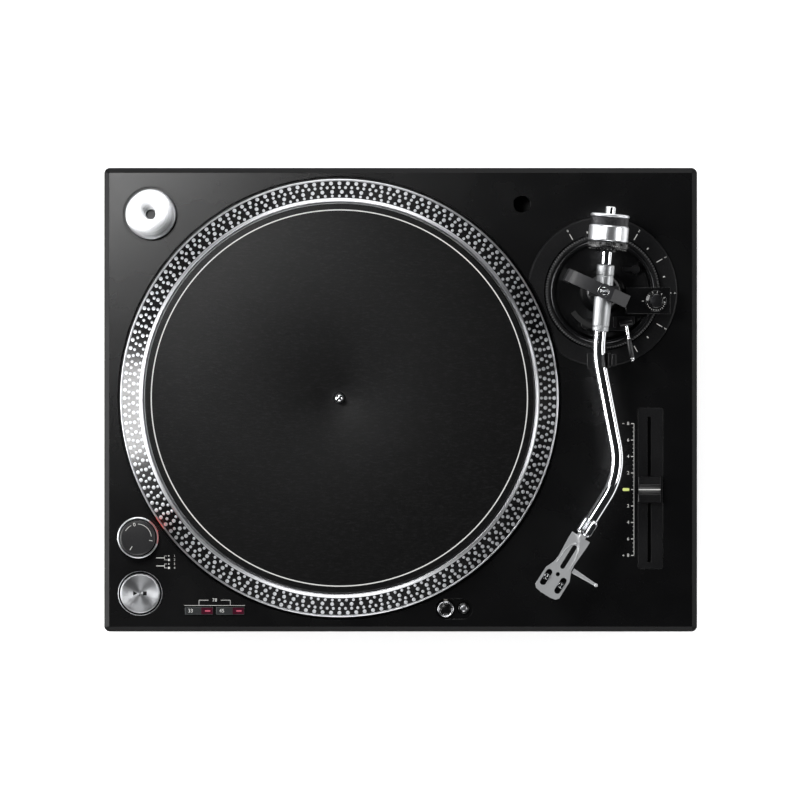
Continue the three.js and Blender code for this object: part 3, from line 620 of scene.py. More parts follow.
def finish(name):
    """A finish made the first time it is asked for."""
    if name in FINISHES:
        return FINISHES[name]
    scene = bpy.context.scene
    plinth, platter, arm = scene.turntable_plinth, scene.turntable_platter, scene.turntable_arm
    z = (0, 0, 1)
    black = tuple(plinth.paint)
    makers = {
        "deck": lambda: painted("deck_paint", black, (0.0035, 0.0035, 0.004), 0.27, 0.04, 1500, 0.08),
        # A lighter, less glossy copy of the deck paint for the sloping edge faces: painted light on the
        # bevel.
        "deck_edge_painted_light": lambda: painted(
            "deck_edge_paint", (0.006, 0.006, 0.0063), (0.01, 0.01, 0.0105), 0.45, 0.04, 1500, 0.08,
            specular=0.14
        ),
        "case": lambda: painted(
            "case_moulding", (0.012, 0.012, 0.013), (0.02, 0.02, 0.02), 0.62, 0.1, 700, 0.4
        ),
        "rubber": lambda: painted(
            "foot_rubber", (0.01, 0.01, 0.01), (0.018, 0.018, 0.018), 0.78, 0.1, 500, 0.3
        ),
        "plastic": lambda: painted(
            "black_plastic", (0.005, 0.005, 0.0055), (0.009, 0.009, 0.0095), 0.36, 0.1, 1100, 0.2,
            specular=0.3
        ),
        "gloss": lambda: painted(
            "gloss_black", (0.003, 0.003, 0.0033), (0.005, 0.005, 0.0055), 0.24, 0.06, 800, 0.06
        ),
        "dial": lambda: painted(
            "dial_black", (0.006, 0.006, 0.0065), (0.014, 0.014, 0.015), 0.4, 0.1, 1300, 0.5, specular=0.22
        ),
        "grey": lambda: painted(
            "dark_grey_paint", (0.011, 0.011, 0.012), (0.017, 0.017, 0.018), 0.4, 0.08, 900, 0.15
        ),
        # The print also glows a little: painted light that makes the white marks read brighter than their
        # paint alone.
        "print": lambda: painted(
            "white_print", tuple(plinth.print_color), (0.56, 0.56, 0.55), 0.6, 0.1, 900, 0.05,
            glow=((1, 1, 0.98), 0.1)
        ),
        "red": lambda: painted(
            "red_light", tuple(plinth.led), (0.6, 0.12, 0.18), 0.25, 0.05, 300, 0.02,
            glow=((1, 0.2, 0.3), 0.06)
        ),
        "lime": lambda: painted(
            "lime_light", (0.55, 0.62, 0.2), (0.62, 0.7, 0.25), 0.3, 0.05, 300, 0.02,
            glow=((0.6, 0.68, 0.2), 0.4)
        ),
        "strobe": lambda: painted(
            "strobe_light", (0.8, 0.1, 0.08), (0.9, 0.2, 0.15), 0.25, 0.05, 300, 0.02,
            glow=((1, 0.06, 0.04), 4.0)
        ),
        # The strobe lamp's light painted as a pink glow on the collar, which is itself no lamp.
        "painted_strobe_glow": lambda: painted(
            "strobe_edge", (0.4, 0.17, 0.17), (0.46, 0.2, 0.2), 0.3, 0.05, 300, 0.02,
            glow=((1, 0.28, 0.27), 0.1)
        ),
        "dark_red": lambda: painted(
            "smoked_red", (0.045, 0.003, 0.012), (0.07, 0.005, 0.018), 0.25, 0.05, 500, 0.02
        ),
        "board": lambda: painted("circuit_board", (0.02, 0.12, 0.05), (0.03, 0.2, 0.08), 0.4, 0.2, 300, 0.2),
        "copper": lambda: painted(
            "winding", (0.45, 0.19, 0.08), (0.6, 0.3, 0.14), 0.4, 0.2, 900, 0.5, metallic=0.8
        ),
        "ferrite": lambda: painted("ferrite", (0.04, 0.04, 0.042), (0.07, 0.07, 0.07), 0.6, 0.1, 600, 0.3),
        "chrome": lambda: painted(
            "plated", tuple(arm.chrome), (0.74, 0.75, 0.77), 0.09, 0.04, 500, 0.01, metallic=1.0
        ),
        "collar": lambda: painted(
            "collar_metal", tuple(arm.chrome), (0.7, 0.71, 0.73), 0.42, 0.06, 900, 0.05, metallic=1.0
        ),
        "satin": lambda: painted(
            "blasted", tuple(arm.satin), (0.5, 0.51, 0.52), 0.46, 0.08, 1800, 0.25, metallic=1.0
        ),
        "rim": lambda: spun(
            "machined_rim", HUB, z, tuple(platter.metal), (0.5, 0.5, 0.52), 0.36, 0.1, 2500, 0.05
        ),
        "dots": lambda: painted(
            "dot_metal", (0.58, 0.59, 0.61), (0.5, 0.51, 0.53), 0.48, 0.08, 900, 0.05, metallic=0.55
        ),
        "felt": lambda: woven("mat_felt", tuple(platter.felt), (0.008, 0.008, 0.0083)),
        "adapter": lambda: spun(
            "turned_adapter", middle("record_adapter"), z, (0.8, 0.81, 0.83), (0.6, 0.61, 0.63), 0.3, 0.1,
            4200, 0.2, turned=0.85,
        ),
        "start": lambda: spun(
            "turned_button", middle("start_stop_button"), z, (0.72, 0.73, 0.75), (0.58, 0.59, 0.61), 0.38,
            0.1, 5200, 0.2, turned=0.8,
        ),
        "key": lambda: painted(
            "key_metal", (0.038, 0.041, 0.042), (0.055, 0.058, 0.06), 0.42, 0.08, 1500, 0.2, metallic=0.6
        ),
        "lamp": lambda: spun(
            "lamp_metal", middle("stylus_lamp"), z, (0.7, 0.71, 0.73), (0.5, 0.5, 0.52), 0.25, 0.1
        ),
        "lamp_key": lambda: spun(
            "lamp_key_metal", middle("lamp_button"), z, (0.6, 0.61, 0.63), (0.45, 0.45, 0.47), 0.3
        ),
        "lens": lambda: painted(
            "lamp_lens", (0.7, 0.68, 0.6), (0.8, 0.78, 0.7), 0.15, 0.05, 300, 0.02,
            glow=((1.0, 0.93, 0.8), 0.6)
        ),
        "bright": lambda: painted(
            "bright_metal", (0.78, 0.79, 0.8), (0.7, 0.7, 0.72), 0.2, 0.06, 900, 0.05, metallic=1.0
        ),
        # Grey ribs for the black plastic height ring: a painted highlight where its teeth catch light.
        "rib": lambda: painted("rib_grey", (0.09, 0.09, 0.092), (0.12, 0.12, 0.122), 0.4, 0.08, 900, 0.1),
        "pale": lambda: painted("pale_plastic", (0.4, 0.4, 0.39), (0.48, 0.48, 0.47), 0.45, 0.08, 900, 0.1),
        "cap": lambda: spun(
            "turned_cap", middle("antiskate_knob"), z, (0.07, 0.07, 0.075), (0.05, 0.05, 0.053), 0.35, 0.1
        ),
        "bridge": lambda: painted(
            "bridge_paint", (0.02, 0.02, 0.022), (0.03, 0.03, 0.032), 0.34, 0.06, 1400, 0.15
        ),
        "weight": lambda: spun(
            "weight_plating", PIVOT, tuple(FORE), tuple(arm.chrome), (0.7, 0.71, 0.73), 0.34, 0.05, 2500, 0.02
        ),
        "knurl": lambda: painted(
            "knurled_metal", (0.022, 0.022, 0.024), (0.04, 0.04, 0.042), 0.25, 0.1, 1200, 0.2, metallic=0.6
        ),
        "shell": lambda: painted(
            "shell_metal", (0.56, 0.57, 0.58), (0.48, 0.49, 0.5), 0.42, 0.06, 2200, 0.2, metallic=0.6
        ),
        "floor": lambda: painted(
            "pale_floor", (0.9, 0.9, 0.9), (0.88, 0.88, 0.88), 0.7, 0.05, 60, 0.0, glow=((1.0, 1.0, 1.0), 0.6)
        ),
    }
    FINISHES[name] = makers[name]()
    return FINISHES[name]


# ---------------------------------------------------------------- operators


class TURNTABLE_OT_plinth(bpy.types.Operator):
    """Deck, case, feet, jacks and the works inside"""

    bl_idname = "turntable.plinth"
    bl_label = "Plinth"

    def execute(self, context):
        deck = refined("top_panel", finish("deck"), 0.35)
        deck.data.materials.append(finish("deck_edge_painted_light"))
        # Sloping faces near the top take the edge paint: painted light picked by which way each face leans.
        for face in deck.data.polygons:
            if 0.1 < face.normal.z < 0.95 and face.center.z > (DECK - EDGE_DEPTH) * MM:
                face.material_index = 1
        refined("bottom_case", finish("case"), 0.5)
        refined("jack_plate", finish("grey"), 0.12)
        refined("ground_post", finish("chrome"), 0.15)
        refined("mains_inlet", finish("plastic"), 0.4)
        refined("headshell_holder", finish("plastic"), 0.2)
        refined("height_dial_plate", finish("dial"), 0.25, 24)
        for node, look in (
            ("main_board", "board"),
            ("power_supply", "copper"),
            ("bearing_housing", "satin"),
            ("motor_stator", "copper"),
            ("speed_switches", "board"),
            ("lamp_guide", "plastic"),
            ("tempo_body", "grey"),
            ("rotor_magnet", "ferrite"),
            ("counterweight_core", "grey"),
        ):
            coat(NODES[node].name, finish(look))
        ribs = lambda r, h, t: r + np.where((h > 7.5) & (h < 14) & (r > 20), 0.35 * np.sin(60 * t), 0)
        outline = [
            [0, 0], [25.5, 0], [26, 0.3], [28, 1.4], [28, 5], [29.6, 6.4], [29.6, 7.4], [29.6, 9], [29.6, 12],
            [29.6, 14.2], [29.6, 15], [26, 21.9], [6, 21.9], [6, 35.4], [0, 35.4],
        ]
        for node in ("foot_front_left", "foot_front_right", "foot_rear_left", "foot_rear_right"):
            x, y, _ = middle(node)
            part = moved(lathe(soften(outline, 0.6, 2), 240, ribs), (x, y, 0))
            put(node + "_turned", part, finish("rubber"), node, (node,))
        screws = [[-150, -60], [150, -60], [-150, 60], [150, 60], [0, -150], [0, 120], [-60, 0], [60, 0]]
        head = lathe([[0, 22.9], [0.9, 22.4], [2.4, 22.25], [3.4, 22.7], [3.4, 23.4], [0, 23.4]], 20)
        put("case_screws", [moved(head, (x, y, 0)) for x, y in screws], finish("chrome"), "chassis")
        return {"FINISHED"}


class TURNTABLE_OT_platter(bpy.types.Operator):
    """Platter, its rim dots, the mat, the spindle and the record adapter"""

    bl_idname = "turntable.platter"
    bl_label = "Platter"

    def execute(self, context):
        sizes = context.scene.turntable_platter
        d = DECK
        disc = [
            [3.9, d + 16.5], [148.2, d + 16.5], [148.7, d + 18.3], [149.2, d + 18.4], [150.9, d + 17.5],
            [151.3, d + 16.9], [164.9, d + 5], [165.4, d + 5.4], [166.2, d + 4.9], [166.2, d + 1],
            [161, d + 1], [161, d + 3], [147, d + 11.5], [14, d + 11.5], [14, d + 8], [3.9, d + 8],
        ]
        place = (HUB[0], HUB[1], 0)
        turned(
            "platter_casting", disc, (0.35, 3), 360, place, "rim", "platter_unit", "machined_aluminium",
            ("platter",)
        )
        slope = np.array([13.6, -11.9]) / np.hypot(13.6, 11.9)
        normal = np.array([-slope[1], slope[0]])
        start = np.array([151.3, d + 16.9])
        a, b = start + 0.35 * slope, start + 17.75 * slope
        band = [a - 0.2 * normal, b - 0.2 * normal, b + 0.06 * normal, a + 0.06 * normal]
        put("platter_band", moved(lathe(band, 360), place), finish("gloss"), "platter_unit")
        big = sizes.dot_size / MM
        rows = (
            (162.75, 160, big), (159.45, 216, 0.76 * big), (156.1, 133, 0.97 * big), (152.9, 180, 0.74 * big)
        )
        put(
            "platter_dots", [moved(self.dots(r, n, w, start, slope, normal), place) for r, n, w in rows],
            finish("dots"), "platter_unit", angle=50
        )
        self.spindle(place)
        self.mat(place)
        self.adapter()
        return {"FINISHED"}

    def dots(self, radius, count, width, start, slope, normal):
        """Low round pads on the cone, each a ring at its foot and a smaller ring on top."""
        t = np.linspace(0, 2 * np.pi, count, endpoint=False)[:, None, None]
        a = np.linspace(0, 2 * np.pi, 12, endpoint=False)[None, None, :]
        rise = np.array([-0.1, 0.12, 0.2])[None, :, None]
        size = width / 2 * np.array([1.0, 1.0, 0.86])[None, :, None]
        along = (radius - start[0]) / slope[0] + size * np.sin(a) / slope[0]
        r = start[0] + along * slope[0] + rise * normal[0]
        z = start[1] + along * slope[1] + rise * normal[1]
        off = size * np.cos(a)
        x = r * np.cos(t) - off * np.sin(t)
        y = r * np.sin(t) + off * np.cos(t)
        points = np.stack([x, y, z + 0 * x], -1).reshape(-1, 3)
        base = 36 * np.arange(count)[:, None, None]
        j = np.arange(12)[None, None, :]
        i = 12 * np.arange(2)[None, :, None]
        nxt = (j + 1) % 12
        quads = np.stack(
            [base + i + nxt, base + i + j, base + i + 12 + j, base + i + 12 + nxt], -1
        ).reshape(-1, 4)
        caps = (base[:, 0] + np.arange(12)[None, ::-1] + 24).tolist()
        feet = (base[:, 0] + np.arange(12)[None, :]).tolist()
        return points, quads.tolist() + caps + feet

    def spindle(self, place):
        """Spindle, ground straight, with a rounded tip."""
        shape = [
            [0, 38.5], [3.6, 38.5], [3.6, 118.2], [3.45, 119.2], [2.9, 120.6], [1.9, 121.5], [0.9, 121.9],
            [0, 122],
        ]
        turned("spindle_ground", shape, (0.5, 3), 64, place, "chrome", "platter_unit", "chrome", ("spindle",))

    def mat(self, place):
        """Felt mat and the line near its edge, a sheet laid on the platter."""
        low, high = DECK + 16.8, DECK + 19.2
        shape = [[SPINDLE_HOLE, low], [MAT_RADIUS, low], [MAT_RADIUS, high], [SPINDLE_HOLE, high]]
        mat = turned("felt_mat", shape, (0.7, 3), 240, place, "felt", "platter_unit", "felt", ("slip_mat",))
        line = [[141.9, high - 0.2], [142.75, high - 0.2], [142.75, high + 0.05], [141.9, high + 0.05]]
        ring = put("mat_line", moved(lathe(line, 240), place), finish("print"), "platter_unit")

    def adapter(self):
        """Record adapter: a turned disc with a hole through it."""
        x, y, _ = middle("record_adapter")
        z = corners("record_adapter")[0][2]
        shape = [
            [3.65, z], [17.6, z], [19.1, z + 1.4], [19.1, z + 9.3], [18.5, z + 10.1], [18.1, z + 10.1],
            [17.9, z + 10.35], [4.3, z + 10.35], [3.65, z + 9.9],
        ]
        turned(
            "adapter_turned", shape, (0.35, 3), 160, (x, y, 0), "adapter", "adapter", "machined_aluminium",
            ("record_adapter",)
        )


class TURNTABLE_OT_controls(bpy.types.Operator):
    """Power tower, start button, speed buttons, stylus lamp and tempo fader"""

    bl_idname = "turntable.controls"
    bl_label = "Controls"

    def execute(self, context):
        self.tower()
        self.start_button()
        self.speed_buttons()
        self.lamp()
        self.fader()
        return {"FINISHED"}

    def tower(self):
        """Strobe tower and lens, a collar with the strobe's light painted on it as a glowing arc, and the
        power knob with its marks.
        """
        d = DECK
        x, y, _ = middle("strobe_tower")
        refined("strobe_tower", finish("gloss"), 0.2, 24)
        refined("strobe_lens", finish("strobe"), 0.4)
        collar = [[14.2, d + 7], [15.6, d + 7.2], [15.6, d + 8.0], [14.9, d + 8.25], [14.2, d + 8.1]]
        turned("power_collar", collar, (0.2, 2), 96, (x, y, 0), "collar", "chassis", "chrome")
        # An arc on top of the collar glows: the strobe's light painted on it.
        lit = arc_band(math.radians(-18), math.radians(55), 14.75, 15.55, d + 8.1, d + 8.35, x, y)
        put("power_collar_light", lit, finish("painted_strobe_glow"), "chassis")
        grip = lambda r, h, t: r - np.where(
            (h > d + 9.8) & (h < d + 18.6) & (r > 12), 0.12 * (1 - np.cos(72 * t)), 0
        )
        cap = [
            [0, d + 8.35], [13.4, d + 8.35], [13.4, d + 9.4], [13.4, d + 9.7], [13.4, d + 10.2],
            [13.4, d + 15], [13.35, d + 18.3], [13.3, d + 18.9], [12.9, d + 19.8], [11.9, d + 20.2],
            [0, d + 20.2],
        ]
        turned(
            "power_cap", cap, (0.25, 2), 192, (x, y, 0), "grey", "power_knob", "dark_metal", ("power_knob",),
            ripple=grip
        )
        start, stop = math.radians(6), math.radians(88)
        marks = [
            arc_band(start, stop, 10.3, 10.65, d + 20.1, d + 20.28, x, y),
            arc_band(math.radians(118), math.radians(150), 10.3, 10.65, d + 20.1, d + 20.28, x, y),
            numeral("0", 2.8, 0.12, x + 10.2 * math.cos(1.8), y + 10.2 * math.sin(1.8), d + 20.2, 0.22),
            numeral("1", 2.8, 0.12, x + 10.2 * math.cos(-0.2), y + 10.2 * math.sin(-0.2), d + 20.2, -1.77),
            spokes(np.radians([238.0]), 7.6, 10.8, 0.5, d + 20.1, d + 20.28, x, y),
        ]
        put("power_marks", marks, finish("print"), "power_knob")
        self.legend()

    def legend(self):
        """Four round marks with their numbers and a forked line beside the strobe light."""
        z, thick = DECK + PRINT_LIFT, PRINT_DEPTH
        rows = ((-118.5, 0.5, "1"), (-121.5, 0.9, "2"), (-124.6, 0.5, "3"), (-127.6, 0.9, "4"))
        marks = []
        for y, radius, number in rows:
            disc = [[0, z - thick / 2], [radius, z - thick / 2], [radius, z + thick / 2], [0, z + thick / 2]]
            marks.append(moved(lathe(disc, 20), (-175.9, y, 0)))
            marks.append(numeral(number, 1.7, thick, -171.6, y, z))
            marks.append(bricks([[-178.2, y, z]], [1.6, 0.3, thick]))
        for y in (-120.0, -126.1):
            marks.append(bricks([[-179.2, y, z]], [0.3, 3.2, thick]))
            marks.append(bricks([[-182.4, y, z]], [6.2, 0.6, thick]))
        put("strobe_legend", marks, finish("print"), "chassis")

    def start_button(self):
        """Turned button with its marks, in a bright ring let into the deck."""
        d = DECK
        x, y, _ = middle("start_stop_button")
        shape = [
            [0, d - 14], [4, d - 14], [4, d - 5], [15.1, d - 5], [15.1, d + 1.7], [14.5, d + 2.4],
            [13.6, d + 2.45], [9, d + 2.1], [0, d + 1.9],
        ]
        turned(
            "start_button_turned", shape, (0.3, 3), 128, (x, y, 0), "start", "start_stop_button",
            "machined_aluminium", ("start_stop_button",)
        )
        a = np.radians([0.0, 120.0, 240.0])
        triangle = np.stack([x - 4.2 + 2.0 * np.cos(a), y + 2.0 * np.sin(a)], -1)
        marks = [
            slab(triangle, d + 1.85, d + 2.06),
            bricks([[x + 3.6, y, d + 1.96]], [3, 3, 0.2]),
            bricks([[x, y, d + 1.96]], [0.35, 4.6, 0.2], -0.35),
        ]
        put("start_marks", marks, finish("plastic"), "start_stop_button")
        edge = [[16.2, d - 0.9], [16.5, d - 0.35], [16.9, d - 0.02], [17.1, d + 0.02], [17.1, d - 0.9]]
        put(
            "start_edge", moved(lathe(soften(edge, 0.1, 2), 128), (x, y, 0)), finish("bright"), "chassis",
        )

    def speed_buttons(self):
        """Two keys, each with a number, a window and a light, and the forked line behind them."""
        d = DECK
        prints = []
        for number in ("33", "45"):
            node = "speed_button_" + number
            x, y, _ = middle(node)
            cap = slab(pill(21.4, 5.7, 0.5, x, y, 5), d - 5, d + 1.75)
            stem = moved(lathe([[0, d - 9], [2, d - 9], [2, d - 4.6], [0, d - 4.6]], 24), (x, y, 0))
            put(node + "_cap", [cap], finish("key"), node, (node,), 0.5, segments=3)
            put(node + "_stem", stem, finish("key"), node)
            put(
                node + "_number", numeral(number, 2.8, 0.16, x - 6.4, y, d + 1.8), finish("print"), node,
            )
            window = slab(pill(8.6, 5.1, 0.4, x + 6.1, y, 5), d + 1.2, d + 1.83)
            put(node + "_window", window, finish("dark_red"), node)
            light = slab(pill(4.2, 1.1, 0.5, x + 6.6, y, 5), d + 1.3, d + 1.92)
            put(node + "_light", light, finish("red"), node)
        left, right = middle("speed_button_33"), middle("speed_button_45")
        y, z, thick = left[1], d + PRINT_LIFT, PRINT_DEPTH
        prints.append(bricks([[(left[0] + right[0]) / 2, y + 4.1, z]], [46, 0.35, thick]))
        for x in (left[0], right[0]):
            prints.append(bricks([[x, y + 6.2, z]], [0.35, 3.9, thick]))
        for x, size in ((left[0] + 3.6, 7.2), (right[0] - 3.6, 7.2)):
            prints.append(bricks([[x, y + 8.1, z]], [size, 0.35, thick]))
        prints.append(numeral("78", 2.6, thick, (left[0] + right[0]) / 2, y + 8.1, z))
        put("speed_print", prints, finish("print"), "chassis")

    def lamp(self):
        """Stylus lamp with its ring and window, and the domed key of its button."""
        d = DECK
        x, y, _ = middle("lamp_guide")
        head = [
            [0, 57.4], [6.75, 57.4], [6.75, d - 0.2], [6.3, d + 0.5], [5.4, d + 0.9], [5.0, d + 0.5],
            [4.2, d + 0.5], [3.6, d + 1.3], [1.6, d + 1.65], [0, d + 1.7],
        ]
        turned(
            "lamp_post", head, (0.25, 3), 72, (x, y, 0), "gloss", "stylus_lamp", "satin_silver",
            ("stylus_lamp",)
        )
        ring = [[4.5, d + 0.45], [6.1, d + 0.45], [6.0, d + 0.8], [5.5, d + 1.05], [4.7, d + 0.8]]
        turned("lamp_ring", ring, (0.2, 3), 72, (x, y, 0), "lamp", "stylus_lamp", "satin_silver")
        glass = slab(pill(2.8, 0.95, 0.3, x, y + 6.345, 5), d - 9, d - 4)
        put("lamp_window", glass, finish("lens"), "stylus_lamp", bevel=0.2)
        x, y, _ = middle("lamp_button")
        cap = [
            [0, d - 8], [4.4, d - 8], [4.4, d + 0.4], [3.9, d + 1.1], [3.1, d + 1.35], [2.6, d + 1.0],
            [0, d + 0.8],
        ]
        turned(
            "lamp_key", cap, (0.25, 3), 56, (x, y, 0), "gloss", "lamp_button", "satin_silver",
            ("lamp_button",)
        )
        dome = [[0, d + 0.7], [2.4, d + 0.7], [2.4, d + 1.0], [1.6, d + 1.3], [0, d + 1.4]]
        turned("lamp_key_dome", dome, (0.2, 3), 48, (x, y, 0), "lamp_key", "lamp_button", "satin_silver")

    def fader(self):
        """Tempo panel with its scale, its light, the floor of its slot and the knob."""
        d = DECK
        refined("tempo_panel", finish("dial"), 0.2)
        x, y, _ = middle("tempo_slider")
        self.fader_knob(x, y)
        z, thick = d + PRINT_LIFT, PRINT_DEPTH
        ticks = y + np.linspace(-50, 50, 9)
        small = y + np.linspace(-50, 50, 33)
        line = x - 12.4
        centres = np.stack([0 * ticks + line - 0.2, ticks, 0 * ticks + z], -1)
        minor = np.stack([0 * small + line + 0.3, small, 0 * small + z], -1)
        marks = [
            bricks([[line + 0.8, y, z]], [0.3, 100.3, thick]),
            bricks(centres, [2.2, 0.6, thick]),
            bricks(minor, [1.1, 0.25, thick]),
        ]
        for i, number in enumerate("8642"):
            for side in (-1, 1):
                marks.append(numeral(number, 2.5, thick, x - 16.0, y + side * (50 - 12.5 * i), z))
        marks.append(bricks([[x - 19.6, y + 50, z], [x - 19.6, y - 50, z]], [1.5, 0.35, thick]))
        marks.append(bricks([[x - 19.6, y - 50, z]], [0.35, 1.5, thick]))
        put("tempo_print", marks, finish("print"), "chassis")
        light = slab(pill(5.1, 2.2, 0.7, x - 17.6, y, 5), d - 0.2, d + 0.5)
        put("tempo_light", light, finish("lime"), "chassis", bevel=0.2)
        slot = bricks([[x, y, d - 9]], [2.2, 109, 2])
        put("tempo_slot_floor", slot, finish("plastic"), "chassis")

    def fader_knob(self, x, y):
        """A saddle: a squared dish between two sloping lips, with two low rounded ridges."""
        d = DECK
        v = np.linspace(-1, 1, 161)
        s = np.abs(9.6 * v)
        dish = 8.6 - 1.7 * np.clip(1 - s / 4.8, 0, 1) ** 2
        height = np.where(s < 4.8, dish, 8.9 - 0.14 * (s - 4.8))
        ridge = 0.34 * np.exp(-(((s - 3.5) / 0.28) ** 2)) + 0.2 * np.exp(-(((s - 2.4) / 0.24) ** 2))
        top = np.stack([9.6 * v, 1.0 + height + ridge], -1)
        outline = np.vstack([[[10.2, 1.0]], top[::-1], [[-10.2, 1.0]]])
        u = np.array([-8.5, -8.1, 8.1, 8.5])
        inset = np.array([0.35, 0.0, 0.0, 0.35])
        centre = np.array([0.0, 5.0])
        rings = outline[None] - inset[:, None, None] * np.sign(outline - centre)[None] * 0.9
        n = len(outline)
        points = np.stack(
            [u[:, None] + x + 0 * rings[..., 0], y + rings[..., 0], d + rings[..., 1]], -1
        ).reshape(-1, 3)
        i, j = np.arange(3)[:, None], np.arange(n)[None, :]
        nxt = (j + 1) % n
        quads = np.stack([i * n + j, i * n + nxt, (i + 1) * n + nxt, (i + 1) * n + j], -1).reshape(-1, 4)
        faces = quads.tolist() + [np.arange(n)[::-1].tolist(), (3 * n + np.arange(n)).tolist()]
        stem = bricks([[x, y, d - 3.1]], [1.9, 9, 9.2])
        put(
            "fader_grip", (points, faces), finish("plastic"), "tempo_slider",
            ("tempo_slider",), angle=28
        )
        put("fader_stem", stem, finish("chrome"), "tempo_slider")
        line = bricks([[x, y, d + 8.0]], [16.6, 0.8, 0.5])
        put("fader_line", line, finish("print"), "tempo_slider")


class TURNTABLE_OT_arm_base(bpy.types.Operator):
    """Height dial and ring, bowl, pillar, bridge, anti-skate, cueing and arm rest"""

    bl_idname = "turntable.arm_base"
    bl_label = "Arm base"

    def execute(self, context):
        self.ring()
        self.bowl()
        self.dial_print()
        refined("gimbal_bridge", finish("bridge"), 0.45, 24)
        refined("pivot_screw", finish("chrome"), 0.15)
        boss = [
            [3.7, DECK + 59.5], [5.0, DECK + 59.5], [5.0, DECK + 59.85], [4.5, DECK + 60], [3.7, DECK + 60],
        ]
        ring = moved(lathe(soften(boss, 0.12, 2), 64), (PIVOT[0], PIVOT[1], 0.05))
        put("pivot_ring", ring, finish("bright"), "arm_base")
        refined("antiskate_block", finish("gloss"), 0.5)
        refined("cue_bracket", finish("plastic"), 0.35)
        refined("arm_rest", finish("plastic"), 0.5)
        refined("rest_clip", finish("plastic"), 0.35)
        refined("height_lock", finish("plastic"), 0.4)
        refined("lift_platform", finish("rubber"), 0.3, 24)
        self.antiskate()
        self.cue()
        return {"FINISHED"}

    def ring(self):
        """Turned ring: a cosine cuts teeth in its outer wall, and a rib lies on top of each."""
        d = DECK
        teeth = lambda r, h, t: r - np.where(
            (h > d + 1.2) & (h < d + 11.45) & (r > 41.7), 0.3 * (1 - np.cos(RING_TEETH * t)), 0
        )
        shape = [
            [27.6, d + 0.4], [42.9, d + 0.4], [43.5, d + 1.0], [43.5, d + 1.6], [43.5, d + 6],
            [43.5, d + 10.2], [43.4, d + 10.5], [41.9, d + 11.3], [41.6, d + 11.5], [39.7, d + 11.6],
            [39.7, d + 6], [27.6, d + 6],
        ]
        turned(
            "height_ring_turned", shape, (0.25, 2), 792, (PIVOT[0], PIVOT[1], 0), "plastic", "height_ring",
            "black_plastic", ("height_ring",), ripple=teeth
        )
        fine = np.linspace(0, 2 * np.pi, RING_TEETH, endpoint=False)
        ribs = spokes(fine, 41.9, 43.1, 0.55, d + 10.9, d + 11.55, PIVOT[0], PIVOT[1])
        # The ribs are painted lighter grey than the ring's black plastic: painted highlight on its teeth.
        put("height_ring_ribs", ribs, finish("rib"), "height_ring")

    def bowl(self):
        """Arm base as a turned bowl with a pale lip, and the pillar that stands in it."""
        d = DECK
        place = (PIVOT[0], PIVOT[1], 0)
        shape = [
            [0, 64], [27, 64], [27, d + 6.4], [39.2, d + 6.4], [39.2, d + 12.1], [38.5, d + 12.6],
            [36.8, d + 12.6], [34.8, d + 9], [0, d + 9],
        ]
        turned("arm_bowl", shape, (0.3, 3), 160, place, "gloss", "arm_base", "gloss_black", ("arm_base",))
        lip = [[38.4, d + 12.3], [38.95, d + 12.1], [39.1, d + 12.3], [38.6, d + 12.59]]
        put("bowl_lip", moved(lathe(lip, 160), place), finish("knurl"), "arm_base")
        shape = [
            [0, d + 9.3], [17.5, d + 9.3], [16.6, d + 12.6], [15.2, d + 15], [14.4, d + 22], [13.9, d + 28],
            [12.6, d + 31.2], [10.6, d + 33.4], [0, d + 33.6],
        ]
        turned(
            "arm_pillar_turned", shape, (0.6, 3), 96, place, "gloss", "arm_base", "gloss_black",
            ("arm_pillar",)
        )

    def dial_print(self):
        """Scale of the height dial: long and short marks by turns, numbered but for the last long one."""
        d, x, y = DECK, PIVOT[0] + 0.8, PIVOT[1] - 0.8
        low, high = d + 3.15, d + 3.3
        angles = np.radians(np.arange(120.0, -75.0, -30.0))
        between = np.radians(np.arange(105.0, -60.0, -30.0))
        marks = [
            spokes(angles, 46.5, 51.5, 0.6, low, high, x, y),
            spokes(between, 46.7, 48.3, 0.9, low, high, x, y),
        ]
        for i, angle in enumerate(angles[:-1]):
            px, py = x + 54.1 * math.cos(angle), y + 54.1 * math.sin(angle)
            marks.append(numeral(str(i), 1.9, 0.15, px, py, d + 3.22, angle - math.pi / 2))
        put("height_print", marks, finish("print"), "chassis")
        pointer = spokes(np.radians([87.0]), 40.0, 42.6, 0.5, d + 11.5, d + 11.6, x, y)
        put("height_pointer", pointer, finish("print"), "height_ring")

    def antiskate(self):
        """Knob with a fluted skirt, its cap and scale, and the mark beside it."""
        d = DECK
        x, y, _ = middle("antiskate_knob")
        grip = lambda r, h, t: r - np.where(
            (h > d + 24.6) & (h < d + 26.2) & (r > 7), 0.14 * (1 + np.cos(60 * t)), 0
        )
        skirt = [
            [0, d + 19.4], [2, d + 19.4], [2, d + 24.3], [8.2, d + 24.3], [8.2, d + 24.8], [8.2, d + 26.0],
            [7.9, d + 26.4], [5.4, d + 26.75], [5.1, d + 28.0], [4.6, d + 28.3], [0, d + 28.2],
        ]
        turned(
            "antiskate_knob_turned", skirt, (0.15, 2), 240, (x, y, 0), "gloss", "antiskate_knob",
            "gloss_black", ("antiskate_knob",), ripple=grip
        )
        cap = [[0, d + 28.1], [4.3, d + 28.1], [4.3, d + 28.25], [4.1, d + 28.3], [0, d + 28.3]]
        put("antiskate_cap", moved(lathe(cap, 48), (x, y, 0)), finish("cap"), "antiskate_knob")
        steps = np.radians(np.arange(172.0, -9.0, -30.0))
        fine = np.radians(np.arange(-20.0, -161.0, -14.0))
        marks = [spokes(fine, 6.4, 7.2, 0.5, d + 26.45, d + 26.58, x, y)]
        for i, angle in enumerate(steps):
            px, py = x + 6.6 * math.cos(angle), y + 6.6 * math.sin(angle)
            marks.append(numeral(str(i), 1.5, 0.1, px, py, d + 26.62, angle - math.pi / 2))
        put("antiskate_print", marks, finish("print"), "antiskate_knob")
        dot = bricks([[x - 9.8, y, d + 24.05]], [1.4, 0.5, 0.14])
        put("antiskate_index", dot, finish("print"), "arm_base")

